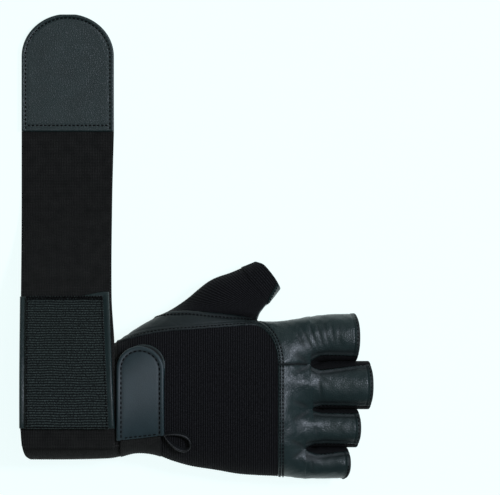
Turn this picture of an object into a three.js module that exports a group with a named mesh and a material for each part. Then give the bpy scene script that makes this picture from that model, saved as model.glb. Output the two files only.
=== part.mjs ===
// A half-finger weightlifting glove for the right hand, lying palm down, with the form that a hand gives it.
// X runs from the wrist to the fingertips, Y towards the thumb, Z up from the palm's rest face. Millimetres.
// Every panel is a wall on one of three forms: the hand's body, a finger stall or the thumb stall. On a form,
// an angle of 0 points to the thumb side, 90 degrees to the back of the hand and -90 to the palm.
import * as THREE from "three";

// The hand that the glove is cut for
const PALM_LENGTH = 88; // from the cuff seam to the knuckle seam
const PALM_WIDTH = 86; // across the knuckles
const PALM_HEIGHT = 35.5; // from the rest face to the knuckles
const CUFF_BEHIND = 46; // the cuff seam lies this far behind the origin
const WRIST_WIDTH = 62;
const WRIST_HEIGHT = 39.5;
const REST_FLAT = 1.6; // how much of the padded palm is pressed flat where it rests
const FINGER_WIDTH = 25.2; // of the index and middle stalls
const FINGER_HEIGHT = 23.5;
const STALL_REACH = 52.6; // from the knuckle seam to the middle stall's mouth
const MOUTH_SLOPE = 3; // the sides of a finger's mouth lie this far behind its top
const THUMB_WIDTH = 21;
const THUMB_HEIGHT = 20.6;
const THUMB_REACH = 37.6; // the thumb's mouth, forward of the origin
const THUMB_SPREAD = 68.5; // and to the side of it
const THUMB_LEVEL = 14;

// Walls and clearances
const LEATHER = 1.4;
const PALM_LEATHER = 2;
const KNIT = 1.5;
const GUSSET = 1.1;
const ELASTIC = 1.6;
const SEAM_GAP = 0.6; // between two panels that are sewn edge to edge
const LAYER_GAP = 0.4; // between two layers that lie on each other
const CUFF_SLANT = 6; // the cuff seam reaches this much further forward on the little-finger side
const MOUTH_SLANT = 3; // and so does the wrist band's mouth
const WRAP_SLANT = 1.8; // and the wrap's edge where it is sewn to the band

// The wrist wrap, its closing tab and its ribbed fastening patch
const BAND_LENGTH = 53.5; // of the elastic round the wrist
const STRAP_WIDTH = 51;
const STRAP_START = -26.5; // across the wrist, where the strap is sewn to the band
const STRAP_LEAVES = 9; // across the wrist, where the strap lifts off it
const STRAP_LANDS = 112; // and where it reaches the surface
const WRAP_LENGTH = 212.1; // to the end of the leather tab
const TAB_LENGTH = 65;
const TAB_OVERLAP = 8; // the elastic runs in under the leather tab
const HOOK_MARGIN = 3;
const HOOK_THICKNESS = 1.6;
const BACKING_START = -15.6;
const BACKING_END = 55.5;
const BACKING_WIDTH = 49;
const BACKING_FLARE = 3.4; // it is this much wider over the wrist
const BACKING_SHIFT = 0.5; // and stands this far out past the wrap's left edge
const BACKING_THICKNESS = 1.3;
const PATCH_BORDER = 3.2; // leather left showing at each side of the ribbed patch
const PATCH_THICKNESS = 1.4;

// The narrow closure over the back of the wrist
const CLOSURE_WIDTH = 26.2;
const CLOSURE_LEFT = -46.7;
const CLOSURE_TOP = 29;
const CLOSURE_BOTTOM = -20.5;
const CLOSURE_THICKNESS = 1.6;
const FASTENER_THICKNESS = 1.1;
const FASTENER_SHIFT = 2; // the fastener under the tab shows this far past its round end
const ELASTIC_WIDTH = 22; // of the closure's elastic
const ELASTIC_TUCK = 7; // it starts this far under the tab
const ELASTIC_END = 190; // degrees round the little-finger edge

// The pull loop of folded tape
const LOOP_LENGTH = 16;
const LOOP_WIDTH = 10.5;
const LOOP_TAPE = 1;
const LOOP_HEIGHT = 4;
const LOOP_PLACE = { x: -18.6, y: -18.8, turn: -29 };

const DORSAL_SQUARENESS = 2.35; // superellipse exponents of the body's back and palm
const PALM_SQUARENESS = 3;
const FINGER_SQUARENESS = 2.2;
const DEGREE = Math.PI / 180;
const X_CUFF = -CUFF_BEHIND;
const X_KNUCKLE = X_CUFF + PALM_LENGTH;
const X_MOUTH = X_CUFF - BAND_LENGTH;

const { lerp, clamp, smoothstep } = THREE.MathUtils;
const signedPower = (value, exponent) => Math.sign(value) * Math.abs(value) ** exponent;

// The hand's outline and height from the wrist to the stalls. Each row is one cross-section: its place along
// the palm as a share of PALM_LENGTH from the cuff seam, its edges as shares of PALM_WIDTH, and the height of
// its back and of its widest level as shares of PALM_HEIGHT.
const PALM_SECTIONS = [
  { along: 0.114, radial: 0.448, ulnar: -0.348, crown: 1.087, level: 0.521 },
  { along: 0.227, radial: 0.515, ulnar: -0.358, crown: 1.059, level: 0.487 },
  { along: 0.341, radial: 0.57, ulnar: -0.4, crown: 1.031, level: 0.456 },
  { along: 0.455, radial: 0.599, ulnar: -0.433, crown: 1.008, level: 0.44 },
  { along: 0.614, radial: 0.587, ulnar: -0.459, crown: 0.986, level: 0.434 },
  { along: 0.75, radial: 0.547, ulnar: -0.483, crown: 0.986, level: 0.44 },
  { along: 0.864, radial: 0.501, ulnar: -0.492, crown: 0.997, level: 0.451 },
  { along: 1, radial: 0.493, ulnar: -0.498, crown: 1, level: 0.465 },
  { along: 1.205, radial: 0.52, ulnar: -0.512, crown: 0.93, level: 0.465 },
  { along: 1.5, radial: 0.535, ulnar: -0.508, crown: 0.8, level: 0.465 },
];
const WRIST_SECTIONS = [
  { x: X_MOUTH - 1, radial: 0.456, ulnar: -0.544 },
  { x: X_CUFF - 0.5 * BAND_LENGTH, radial: 0.456, ulnar: -0.544 },
  { x: X_CUFF - 0.1 * BAND_LENGTH, radial: 0.468, ulnar: -0.535 },
  { x: X_CUFF, radial: 0.512, ulnar: -0.522 },
].map(({ x, radial, ulnar }) => ({
  x,
  radial: radial * WRIST_WIDTH,
  ulnar: ulnar * WRIST_WIDTH,
  crown: WRIST_HEIGHT,
  level: 0.5 * WRIST_HEIGHT,
}));
const BODY = WRIST_SECTIONS.concat(
  PALM_SECTIONS.map(({ along, radial, ulnar, crown, level }) => ({
    x: X_CUFF + along * PALM_LENGTH,
    radial: radial * PALM_WIDTH,
    ulnar: ulnar * PALM_WIDTH,
    crown: crown * PALM_HEIGHT,
    level: level * PALM_HEIGHT,
  })),
);

// The four stalls from the index finger on: mouth as a share of STALL_REACH, centre as a share of PALM_WIDTH,
// width and height as shares of FINGER_WIDTH and FINGER_HEIGHT, and level as a share of PALM_HEIGHT.
const STALLS = [
  { reach: 0.861, centre: 0.392, width: 1, height: 1, level: 0.465 },
  { reach: 1, centre: 0.085, width: 1, height: 1, level: 0.473 },
  { reach: 0.871, centre: -0.188, width: 0.78, height: 0.91, level: 0.451 },
  { reach: 0.764, centre: -0.417, width: 0.65, height: 0.8, level: 0.413 },
];
// The degrees between which the back leather and the palm leather cover each stall. The gussets close what is
// left between two stalls.
const SIDE_SEAM = -20; // degrees: where the back meets the palm leather on the thumb side
const ULNAR_SEAM = 194; // and on the little-finger side
const LIPS = [
  { back: [SIDE_SEAM, 143], palm: [SIDE_SEAM, -145] },
  { back: [38, 152], palm: [-35, -145] },
  { back: [36, 152], palm: [-35, -145] },
  { back: [44, ULNAR_SEAM], palm: [-35, -166] },
];
const FINGERS = STALLS.map((stall, lane) => ({ ...stall, ...LIPS[lane] }));
// Where two stalls part: how far forward on the back and on the palm as shares of STALL_REACH, and where
// across as a share of PALM_WIDTH. The gusset slopes down and forward from the one to the other.
const CROTCHES = [
  { back: 0.337, palm: 0.56, across: 0.222 },
  { back: 0.362, palm: 0.58, across: -0.07 },
  { back: 0.285, palm: 0.47, across: -0.318 },
];
const CROTCH_ROUND = 5; // a slot opens to its width over this length
const ROW_GROWTH = 1.6; // rows past a crotch lie further apart towards the mouth: an exponent
const BLEND_START = 0.03; // the back takes the stalls' shape between these shares of STALL_REACH
const BLEND_END = 0.46;

// The thumb's armhole on the body: its centre and half-length as shares of PALM_LENGTH, and the degrees that
// it reaches from the side seam towards the back and the palm.
const ARMHOLE = { centre: 0.545, half: 0.318, back: 44, palm: 26 };
const ARMHOLE_X = X_CUFF + ARMHOLE.centre * PALM_LENGTH;
const ARMHOLE_HALF = ARMHOLE.half * PALM_LENGTH;
// Rings of the thumb stall between armhole and mouth. Each has the share of the way there, its place between
// the armhole's centre and the mouth's, its half-width as a share of THUMB_WIDTH, the turn of its width in
// degrees, and how far it rises and drops from THUMB_LEVEL as shares of THUMB_HEIGHT.
const THUMB_RINGS = [
  { way: 0.3, forward: 0.23, side: 0.02, half: 0.98, turn: -10.5, rise: 0.58, drop: 0.6 },
  { way: 0.55, forward: 0.467, side: 0.36, half: 0.745, turn: -34.5, rise: 0.55, drop: 0.57 },
  { way: 0.8, forward: 0.7, side: 0.61, half: 0.61, turn: -44, rise: 0.52, drop: 0.53 },
  { way: 1, forward: 0.985, side: 1, half: 0.455, turn: -52, rise: 0.47, drop: 0.47 },
];
const THUMB_SEAMS = { index: 16, wrist: 198 }; // degrees round the stall between which the knit covers it
const HEM_START = 0.84; // the folded hem lies past this share of the way
const HEM_RISE = 0.5; // and stands out this much from the stall

// The knit's edge along the thumb side, as shares of PALM_LENGTH and PALM_WIDTH, up to its round corner
const KNIT_EDGE = [
  { along: 0, across: 0.36 },
  { along: 0.22, across: 0.42 },
  { along: 0.5, across: 0.446 },
  { along: 0.835, across: 0.471 },
].map((row) => ({ x: X_CUFF + row.along * PALM_LENGTH, y: row.across * PALM_WIDTH }));
const CORNER_START = KNIT_EDGE[KNIT_EDGE.length - 1];
// The corner ends where the first finger seam starts
const CORNER_WIDTH = CORNER_START.y - CROTCHES[0].across * PALM_WIDTH;

// A smooth curve through a table's rows, read at x.
function along(rows, column, x) {
  const last = rows.length - 1;
  let i = 0;
  while (i < last - 1 && x > rows[i + 1].x) i += 1;
  const slope = (k) => {
    const [a, b] = [rows[Math.max(k - 1, 0)], rows[Math.min(k + 1, last)]];
    return (b[column] - a[column]) / (b.x - a.x);
  };
  const [from, to] = [rows[i], rows[i + 1]];
  const span = to.x - from.x;
  const t = clamp((x - from.x) / span, 0, 1);
  const [leaving, arriving] = [slope(i) * span, slope(i + 1) * span];
  const step = to[column] - from[column];
  const bend = 3 * step - 2 * leaving - arriving;
  return from[column] + leaving * t + bend * t ** 2 + (leaving + arriving - 2 * step) * t ** 3;
}

// A point on the hand's body, at an inset below its outer surface. What would reach below the rest face is
// pressed flat.
function bodyPoint(x, angle, inset) {
  const radial = along(BODY, "radial", x) - inset;
  const ulnar = along(BODY, "ulnar", x) + inset;
  const level = along(BODY, "level", x);
  const up = Math.sin(angle);
  const power = 2 / (up > 0 ? DORSAL_SQUARENESS : PALM_SQUARENESS);
  const reach = up > 0 ? along(BODY, "crown", x) - inset - level : level + REST_FLAT - inset;
  const y = (radial + ulnar) / 2 + ((radial - ulnar) / 2) * signedPower(Math.cos(angle), power);
  return new THREE.Vector3(x, y, Math.max(level + reach * signedPower(up, power), inset));
}

// The angle at which the body's back (side 1) or palm (side -1) lies at y.
function angleAt(x, y, side = 1) {
  const radial = along(BODY, "radial", x);
  const ulnar = along(BODY, "ulnar", x);
  const share = clamp((2 * y - radial - ulnar) / (radial - ulnar), -1, 1);
  return side * Math.acos(signedPower(share, (side > 0 ? DORSAL_SQUARENESS : PALM_SQUARENESS) / 2));
}

// A point on a finger stall's wall.
function fingerPoint(finger, x, angle, inset) {
  const power = 2 / FINGER_SQUARENESS;
  const halfWidth = (finger.width * FINGER_WIDTH) / 2 - inset;
  const halfHeight = (finger.height * FINGER_HEIGHT) / 2 - inset;
  const y = finger.centre * PALM_WIDTH + halfWidth * signedPower(Math.cos(angle), power);
  const z = finger.level * PALM_HEIGHT + halfHeight * signedPower(Math.sin(angle), power);
  return new THREE.Vector3(x, y, z);
}

// A stall's mouth: its top reaches furthest, and its sides and palm lie back.
const mouthX = (finger, angle) => {
  const top = X_KNUCKLE + finger.reach * STALL_REACH;
  return top - MOUTH_SLOPE * (1 - Math.sin(angle));
};
const crotchX = (slot, side) => X_KNUCKLE + CROTCHES[slot][side > 0 ? "back" : "palm"] * STALL_REACH;
const crotchY = (slot) => CROTCHES[slot].across * PALM_WIDTH;

// How far a slot has opened at a length past its crotch: 0 at the crotch, 1 where it has its full width.
const opened = (length) => Math.sqrt(clamp(length / CROTCH_ROUND, 0, 1));

// The slots at a lane's two edges, thumb side first, and the nearest slot for an edge that has none.
const slotsOf = (lane) => [clamp(lane - 1, 0, 2), clamp(lane, 0, 2)];
const hasSlot = (lane, edge) => lane + edge > 0 && lane + edge < FINGERS.length;

// The angles of a lane's two edges on the body: the seams at the hand's sides and the lines to the crotches.
function laneEdges(lane, side, x) {
  const share = clamp((x - ARMHOLE_X) / (ARMHOLE_HALF + SEAM_GAP), -1, 1);
  const hole = (side > 0 ? ARMHOLE.back : ARMHOLE.palm) * Math.sqrt(1 - share ** 2);
  const trim = SEAM_GAP / PALM_HEIGHT / DEGREE;
  const thumbSide = (SIDE_SEAM + side * (hole + trim)) * DEGREE;
  const littleSide = (side > 0 ? ULNAR_SEAM - trim : ULNAR_SEAM - 360 + trim) * DEGREE;
  const [before, after] = slotsOf(lane);
  return [
    hasSlot(lane, 0) ? angleAt(x, crotchY(before), side) : thumbSide,
    hasSlot(lane, 1) ? angleAt(x, crotchY(after), side) : littleSide,
  ];
}

// A point of the leather over one finger's lane before neighbouring lanes are joined: a strip of the body
// that turns into the stall's wall. It widens with the slots and deepens over the whole knuckle.
function looseLane(lane, side, x, across, inset) {
  const finger = FINGERS[lane];
  const lips = side > 0 ? finger.back : finger.palm;
  const edges = laneEdges(lane, side, x);
  const onBody = bodyPoint(x, lerp(edges[0], edges[1], across), inset);
  const onFinger = fingerPoint(finger, x, lerp(lips[0], lips[1], across) * DEGREE, inset);
  const [before, after] = slotsOf(lane).map((slot) => opened(x + inset - crotchX(slot, side)));
  const deep = smoothstep((x - X_KNUCKLE) / STALL_REACH, BLEND_START, BLEND_END);
  const y = lerp(onBody.y, onFinger.y, lerp(before, after, across));
  return new THREE.Vector3(x, y, lerp(onBody.z, onFinger.z, deep));
}

// The same point, with the lanes' edges brought together on their common line before each crotch.
function lanePoint(lane, side, x, across, inset) {
  const shifts = [0, 1].map((edge) => {
    if (!hasSlot(lane, edge)) return new THREE.Vector3();
    const own = looseLane(lane, side, x, edge, inset);
    const other = looseLane(lane + 2 * edge - 1, side, x, 1 - edge, inset);
    const closed = 1 - opened(x + inset - crotchX(slotsOf(lane)[edge], side));
    return other.sub(own).multiplyScalar(closed / 2);
  });
  return looseLane(lane, side, x, across, inset).add(shifts[0].lerp(shifts[1], across));
}

// A closed solid from patches of wall. Each patch gives a point for its two shares and an inset, and patches
// whose edges coincide to within JOIN_GRID are joined there.
const JOIN_GRID = 0.005;
function wall(patches, thickness, lift = 0) {
  const outer = [];
  const inner = [];
  const seen = new Map();
  const faces = [];
  for (const { rows, columns, at } of patches) {
    const vertex = (row, column) => {
      const point = at(row / rows, column / columns, -lift);
      const key = point.toArray().map((value) => Math.round(value / JOIN_GRID)).join();
      if (!seen.has(key)) {
        seen.set(key, outer.length);
        outer.push(point);
        inner.push(at(row / rows, column / columns, thickness - lift));
      }
      return seen.get(key);
    };
    for (let row = 0; row < rows; row += 1) {
      for (let column = 0; column < columns; column += 1) {
        const [a, b] = [vertex(row, column), vertex(row + 1, column)];
        const [c, d] = [vertex(row + 1, column + 1), vertex(row, column + 1)];
        faces.push([a, b, c], [a, c, d]);
      }
    }
  }
  const whole = faces.filter(([a, b, c]) => a !== b && b !== c && c !== a);
  const edges = new Set(whole.flatMap(([a, b, c]) => [`${a} ${b}`, `${b} ${c}`, `${c} ${a}`]));
  const count = outer.length;
  const triangles = whole.flatMap(([a, b, c]) => [[a, b, c], [a + count, c + count, b + count]]);
  for (const edge of edges) {
    const [a, b] = edge.split(" ").map(Number);
    if (edges.has(`${b} ${a}`)) continue;
    triangles.push([b, a, a + count], [b, a + count, b + count]);
  }
  return solid(outer.concat(inner), triangles);
}

// A mesh from points and triangles, with its faces turned outward.
function solid(points, triangles) {
  const wedge = ([a, b, c]) => points[a].dot(points[b].clone().cross(points[c]));
  const volume = triangles.reduce((sum, triangle) => sum + wedge(triangle), 0);
  const outward = volume > 0 ? triangles : triangles.map(([a, b, c]) => [a, c, b]);
  const geometry = new THREE.BufferGeometry();
  geometry.setAttribute("position", new THREE.Float32BufferAttribute(points.flatMap((p) => p.toArray()), 3));
  geometry.setIndex(outward.flat());
  geometry.computeVertexNormals();
  return geometry;
}

// A material that the pieces made of the same stuff share
const finish = (name, color, roughness) => new THREE.MeshStandardMaterial({ name, color, roughness });
const MATERIALS = {
  nappa: finish("nappa_leather", 0x2b353a, 0.5),
  palm: finish("palm_leather", 0x30383c, 0.6),
  knit: finish("rib_knit", 0x141416, 0.9),
  gusset: finish("stretch_gusset", 0x17181a, 0.8),
  elastic: finish("woven_elastic", 0x1a1b1c, 0.85),
  fastener: finish("hook_fastener", 0x202224, 0.9),
  tape: finish("satin_tape", 0x24282b, 0.6),
};
const glove = new THREE.Group();
glove.name = "weightlifting_glove";
function add(name, material, geometry) {
  const mesh = new THREE.Mesh(geometry, MATERIALS[material]);
  mesh.name = name;
  glove.add(mesh);
}

// Where the cuff seam runs: further forward on the little-finger side.
const cuffX = (angle) => X_CUFF + CUFF_SLANT * ((1 - Math.cos(angle)) / 2) ** 2;

// The knit's edge at a share from the cuff (0) over its corner's start (0.5) to the knuckle seam (1)
function knitEdge(share, margin) {
  if (share <= 0.5) {
    const x = lerp(X_CUFF, CORNER_START.x, 2 * share);
    return { x, y: along(KNIT_EDGE, "y", x) + margin };
  }
  const turn = (share - 0.5) * Math.PI;
  return {
    x: CORNER_START.x + (X_KNUCKLE + margin - CORNER_START.x) * Math.sin(turn),
    y: CORNER_START.y - CORNER_WIDTH + (CORNER_WIDTH + margin) * Math.cos(turn),
  };
}

// The knit back: from the leather's edge round the little-finger side to the seam with the palm.
function backPoint(u, v, inset) {
  const edge = knitEdge(u, -SEAM_GAP / 2);
  const end = ULNAR_SEAM * DEGREE - SEAM_GAP / PALM_HEIGHT;
  const angle = lerp(angleAt(edge.x, edge.y), end, v);
  const start = cuffX(angle) + SEAM_GAP / 2;
  return bodyPoint(start + ((edge.x - X_CUFF) * (X_KNUCKLE - start)) / (X_KNUCKLE - X_CUFF), angle, inset);
}
add("back_panel", "knit", wall([{ rows: 18, columns: 14, at: backPoint }], KNIT));

// The share of a lane's width that a seam takes.
const seamShare = (lane) => SEAM_GAP / 2 / (FINGERS[lane].width * FINGER_WIDTH);

// A lane from the knuckle seam to the stall's mouth. The rows meet the crotches at the share KNUCKLE_SHARE.
// An edge that is open has a seam along its whole length, and a joined one parts from its neighbour at the
// crotch.
const KNUCKLE_SHARE = 0.4;
const LANE_ROWS = 10;
const LANE_START = X_KNUCKLE + SEAM_GAP / 2;
function lanePatch(lane, side, open, columns) {
  const finger = FINGERS[lane];
  const lips = side > 0 ? finger.back : finger.palm;
  const at = (u, v, inset) => {
    const past = Math.max(0, (u - KNUCKLE_SHARE) / (1 - KNUCKLE_SHARE));
    const trims = [0, 1].map((edge) => (past > 0 || open[edge] ? seamShare(lane) : 0));
    const across = lerp(trims[0], 1 - trims[1], v);
    const crotches = slotsOf(lane).map((slot) => crotchX(slot, side) - inset - SEAM_GAP / 2);
    const crotch = lerp(crotches[0], crotches[1], v);
    const mouth = mouthX(finger, lerp(lips[0], lips[1], across) * DEGREE);
    const before = lerp(LANE_START, crotch, u / KNUCKLE_SHARE);
    const x = past > 0 ? lerp(crotch, mouth, past ** ROW_GROWTH) : before;
    return lanePoint(lane, side, x, across, inset);
  };
  return { rows: LANE_ROWS, columns, at };
}

// Stations along the hand from the cuff over the armhole, where they crowd towards its ends, to the knuckles
const [CUFF_ROWS, ARMHOLE_ROWS, FRONT_ROWS] = [3, 14, 4];
const STATIONS = [];
const [rearX, frontX] = [ARMHOLE_X - ARMHOLE_HALF - SEAM_GAP, ARMHOLE_X + ARMHOLE_HALF + SEAM_GAP];
for (let i = 0; i < CUFF_ROWS; i += 1) STATIONS.push(lerp(X_CUFF + SEAM_GAP / 2, rearX, i / CUFF_ROWS));
for (let i = 0; i < ARMHOLE_ROWS; i += 1) {
  STATIONS.push(lerp(rearX, frontX, (1 - Math.cos((i / ARMHOLE_ROWS) * Math.PI)) / 2));
}
for (let i = 0; i <= FRONT_ROWS; i += 1) STATIONS.push(lerp(frontX, LANE_START, i / FRONT_ROWS));
const STATION_ROWS = STATIONS.length - 1;
const stationAt = (u) => STATIONS[Math.round(u * STATION_ROWS)];
const slanted = (u, angle) => stationAt(u) + (cuffX(angle) - X_CUFF) * (1 - u);

// The leather over the index finger, which runs on as a strip between the knit and the thumb. Its outer edge
// follows the side seam and the armhole, and its inner edge follows the knit round its corner.
const BACK_COLUMNS = 5;
const indexLane = lanePatch(0, 1, [true, true], BACK_COLUMNS);
function stripPoint(u, v, inset) {
  if (u === 1) return indexLane.at(0, v, inset);
  const x = stationAt(u);
  const first = (x - X_CUFF) / (CORNER_START.x - X_CUFF);
  const second = (x - CORNER_START.x) / (LANE_START - CORNER_START.x);
  const inner = knitEdge(second > 0 ? (1 + second) / 2 : first / 2, SEAM_GAP / 2);
  const angle = lerp(laneEdges(0, 1, x)[0], angleAt(inner.x, inner.y), v);
  return bodyPoint(lerp(x, inner.x, v) + (cuffX(angle) - X_CUFF) * (1 - u), angle, inset);
}
const strip = { rows: STATION_ROWS, columns: BACK_COLUMNS, at: stripPoint };
add("index_panel", "nappa", wall([strip, indexLane], LEATHER));

// The leather over the other three fingers, in one piece from the knuckle seam.
const FINGER_LANES = [
  { lane: 1, open: [true, false] },
  { lane: 2, open: [false, false] },
  { lane: 3, open: [false, true] },
];
const fingerLanes = FINGER_LANES.map(({ lane, open }) => lanePatch(lane, 1, open, BACK_COLUMNS));
add("fingers_panel", "nappa", wall(fingerLanes, LEATHER));

// The palm leather, in one piece from the cuff to the palm side of the four stalls.
const PALM_COLUMNS = 3;
const PALM_LANES = [
  { lane: 0, open: [true, false] },
  { lane: 1, open: [false, false] },
  { lane: 2, open: [false, false] },
  { lane: 3, open: [false, true] },
];
const palmPatches = PALM_LANES.flatMap(({ lane, open }) => {
  const at = (u, v, inset) => {
    const across = lerp(open[0] ? seamShare(lane) : 0, open[1] ? 1 - seamShare(lane) : 1, v);
    const edges = laneEdges(lane, -1, stationAt(u));
    const angle = lerp(edges[0], edges[1], across);
    return bodyPoint(slanted(u, angle), angle, inset);
  };
  const rear = { rows: STATION_ROWS, columns: PALM_COLUMNS, at };
  return [rear, lanePatch(lane, -1, open, PALM_COLUMNS)];
});
add("palm_panel", "palm", wall(palmPatches, PALM_LEATHER));

// The gussets between the stalls: each runs from one mouth back to the crotch, turns there and runs out to
// the next. Its edges lie on the lips of the leather, and between them it follows the stall's wall.
const GUSSET_NAMES = ["gusset_index_middle", "gusset_middle_ring", "gusset_ring_little"];
const GUSSET_TRIM = SEAM_GAP / 2 / (0.5 * FINGER_HEIGHT);
const PALM_TRIM = 2.2 * GUSSET_TRIM; // where the gusset meets the thicker palm leather
function gussetPoint(slot, u, v, inset) {
  const [lane, edge] = u < 0.5 ? [slot, 1] : [slot + 1, 0];
  const other = 2 * slot + 1 - lane;
  const finger = FINGERS[lane];
  const share = lerp(GUSSET_TRIM, 1 - PALM_TRIM, v);
  const top = finger.back[edge] * DEGREE;
  const bottom = (finger.palm[edge] + (edge ? 360 : 0)) * DEGREE;
  const angle = lerp(top, bottom, share);
  const start = lerp(crotchX(slot, 1), crotchX(slot, -1), share) - inset;
  const x = lerp(start, mouthX(finger, angle), Math.abs(2 * u - 1) ** ROW_GROWTH);
  const open = opened(x - start);
  const lipZ = (side) => {
    const own = lanePoint(lane, side, x, edge, inset).z;
    return lerp((own + lanePoint(other, side, x, 1 - edge, inset).z) / 2, own, open);
  };
  const stall = fingerPoint(finger, x, angle, inset);
  const chordZ = lerp(fingerPoint(finger, x, top, inset).z, fingerPoint(finger, x, bottom, inset).z, share);
  const z = lerp(lipZ(1), lipZ(-1), share) + open * (stall.z - chordZ);
  return new THREE.Vector3(x, lerp(crotchY(slot), stall.y, open), z);
}
GUSSET_NAMES.forEach((name, slot) => {
  const patch = { rows: 14, columns: 4, at: (u, v, inset) => gussetPoint(slot, u, v, inset) };
  add(name, "gusset", wall([patch], GUSSET));
});

// The thumb stall: a smooth tube through the armhole's edge and the rings, up to the mouth.
const armholeCentre = bodyPoint(ARMHOLE_X, SIDE_SEAM * DEGREE, 0);
const thumbAxis = { x: THUMB_REACH - armholeCentre.x, y: THUMB_SPREAD - armholeCentre.y };
function ringPoint(ring, round, inset) {
  const across = (ring.half * THUMB_WIDTH - inset) * Math.cos(round);
  const height = (Math.sin(round) > 0 ? ring.rise : ring.drop) * THUMB_HEIGHT - inset;
  return {
    way: ring.way,
    x: armholeCentre.x + ring.forward * thumbAxis.x + across * Math.cos(ring.turn * DEGREE),
    y: armholeCentre.y + ring.side * thumbAxis.y + across * Math.sin(ring.turn * DEGREE),
    z: THUMB_LEVEL + height * Math.sin(round),
  };
}
function thumbPoint(way, round, inset) {
  const swing = (Math.sin(round) > 0 ? ARMHOLE.back : ARMHOLE.palm) * Math.sin(round);
  const narrowed = 1 - inset / (0.5 * THUMB_WIDTH);
  const start = bodyPoint(
    ARMHOLE_X + (ARMHOLE_HALF - inset) * Math.cos(round),
    (SIDE_SEAM + swing * narrowed) * DEGREE,
    0,
  );
  const rings = THUMB_RINGS.map((ring) => ringPoint(ring, round, inset));
  const rows = [{ way: 0, x: start.x, y: start.y, z: start.z }, ...rings];
  const along3 = ["x", "y", "z"].map((axis) => {
    const column = rows.map((row) => ({ x: row.way, value: row[axis] }));
    return along(column, "value", way);
  });
  return new THREE.Vector3(...along3);
}
const thumbTrim = SEAM_GAP / THUMB_WIDTH / DEGREE;
const thumbPatch = (from, to, columns) => ({
  rows: 10,
  columns,
  at: (u, v, inset) => {
    const round = lerp(from + thumbTrim, to - thumbTrim, v) * DEGREE;
    return thumbPoint(u * (HEM_START - SEAM_GAP / THUMB_SPREAD), round, inset);
  },
});
add("thumb_back", "knit", wall([thumbPatch(THUMB_SEAMS.index, THUMB_SEAMS.wrist, 10)], KNIT));
add("thumb_palm", "palm", wall([thumbPatch(THUMB_SEAMS.wrist, THUMB_SEAMS.index + 360, 10)], LEATHER));

// The thumb's folded hem, a ring that stands out from the stall
const hemPoint = (u, v, inset) => thumbPoint(lerp(HEM_START, 1, u), v * 360 * DEGREE, inset);
add("thumb_hem", "knit", wall([{ rows: 2, columns: 22, at: hemPoint }], KNIT + HEM_RISE, HEM_RISE));

// The elastic band all round the wrist, up to the slanting cuff seam
const bandPoint = (u, v, inset) => {
  const angle = v * 360 * DEGREE;
  const mouth = X_MOUTH + MOUTH_SLANT * ((1 - Math.cos(angle)) / 2) ** 4;
  return bodyPoint(lerp(mouth, cuffX(angle) - SEAM_GAP / 2, u), angle, inset);
};
add("wrist_band", "elastic", wall([{ rows: 4, columns: 42, at: bandPoint }], ELASTIC));

// The path of the wrap's underside: over the wrist, down beside the hand and flat to its end. Lift is the
// height square to the path.
function strapPoint(x, y, lift) {
  const wristTop = (across) => bodyPoint(x, angleAt(x, across), 0).z + LAYER_GAP;
  const step = 0.5; // over which a slope is taken
  const leave = STRAP_LEAVES;
  const slope = (wristTop(leave) - wristTop(leave - step)) / step;
  const span = STRAP_LANDS - leave;
  const heightAt = (across) => {
    if (across <= leave) return wristTop(across);
    const t = clamp((across - leave) / span, 0, 1);
    return wristTop(leave) * (1 - 3 * t ** 2 + 2 * t ** 3) + slope * span * t * (1 - t) ** 2;
  };
  const rise = (heightAt(y + step) - heightAt(y - step)) / (2 * step);
  const length = Math.hypot(1, rise);
  return new THREE.Vector3(x, y - (lift * rise) / length, heightAt(y) + lift / length);
}
const wrapLeft = X_MOUTH;
const tabStart = WRAP_LENGTH - TAB_LENGTH;
// The elastic's width along the wrap, x millimetres to the thumb side: it draws in between its two sewn ends
const STRAP_WIDTHS = [
  { x: STRAP_START, width: 51.8 },
  { x: 27, width: 51.8 },
  { x: BACKING_END, width: 50 },
  { x: 105, width: 50 },
  { x: tabStart, width: STRAP_WIDTH },
];
const bandPatch = {
  rows: 30,
  columns: 2,
  at: (u, v, inset) => {
    const y = lerp(STRAP_START, tabStart + TAB_OVERLAP, u);
    const left = wrapLeft + WRAP_SLANT * (1 - smoothstep(y, STRAP_START, BACKING_START));
    const right = wrapLeft + along(STRAP_WIDTHS, "width", y);
    return strapPoint(lerp(left, right, v), y, -inset);
  },
};
add("wrap_band", "elastic", wall([bandPatch], ELASTIC, ELASTIC));

// The leather backing on the wrap and the ribbed patch on it. The backing flares towards the wrist.
const backingLift = ELASTIC + LAYER_GAP + BACKING_THICKNESS;
const backingPatch = (margin, rows) => ({
  rows,
  columns: 4,
  at: (u, v, inset) => {
    const left = wrapLeft - BACKING_SHIFT;
    const right = left + BACKING_WIDTH + BACKING_FLARE * (1 - u);
    const y = lerp(BACKING_START, BACKING_END - margin, u);
    return strapPoint(lerp(left + margin, right - margin, v), y, -inset);
  },
});
add("wrap_backing", "nappa", wall([backingPatch(0, 16)], BACKING_THICKNESS, backingLift));
const patchLift = backingLift + LAYER_GAP + PATCH_THICKNESS;
add("wrap_patch", "fastener", wall([backingPatch(PATCH_BORDER, 16)], PATCH_THICKNESS, patchLift));

// A tab's outline: its distance from the round end and its half-width at each share of its length. The end is
// a half ellipse that starts flat, ROUND_START degrees round, and takes ROUND_ROWS of the rows.
const ROUND_START = 10;
const ROUND_ROWS = 0.6;
const WRAP_ROUND = 0.46; // length of the wrap's round end, as a share of its width
const HOOK_ROUND = 0.44; // and of the hook pad's
function tabOutline(u, halfWidth, round, length) {
  const turn = lerp(ROUND_START, 90, clamp(u / ROUND_ROWS, 0, 1)) * DEGREE;
  const past = clamp((u - ROUND_ROWS) / (1 - ROUND_ROWS), 0, 1);
  const down = round * (1 - Math.cos(turn)) + past * (length - round);
  return { down, half: halfWidth * Math.sin(turn) };
}
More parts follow.
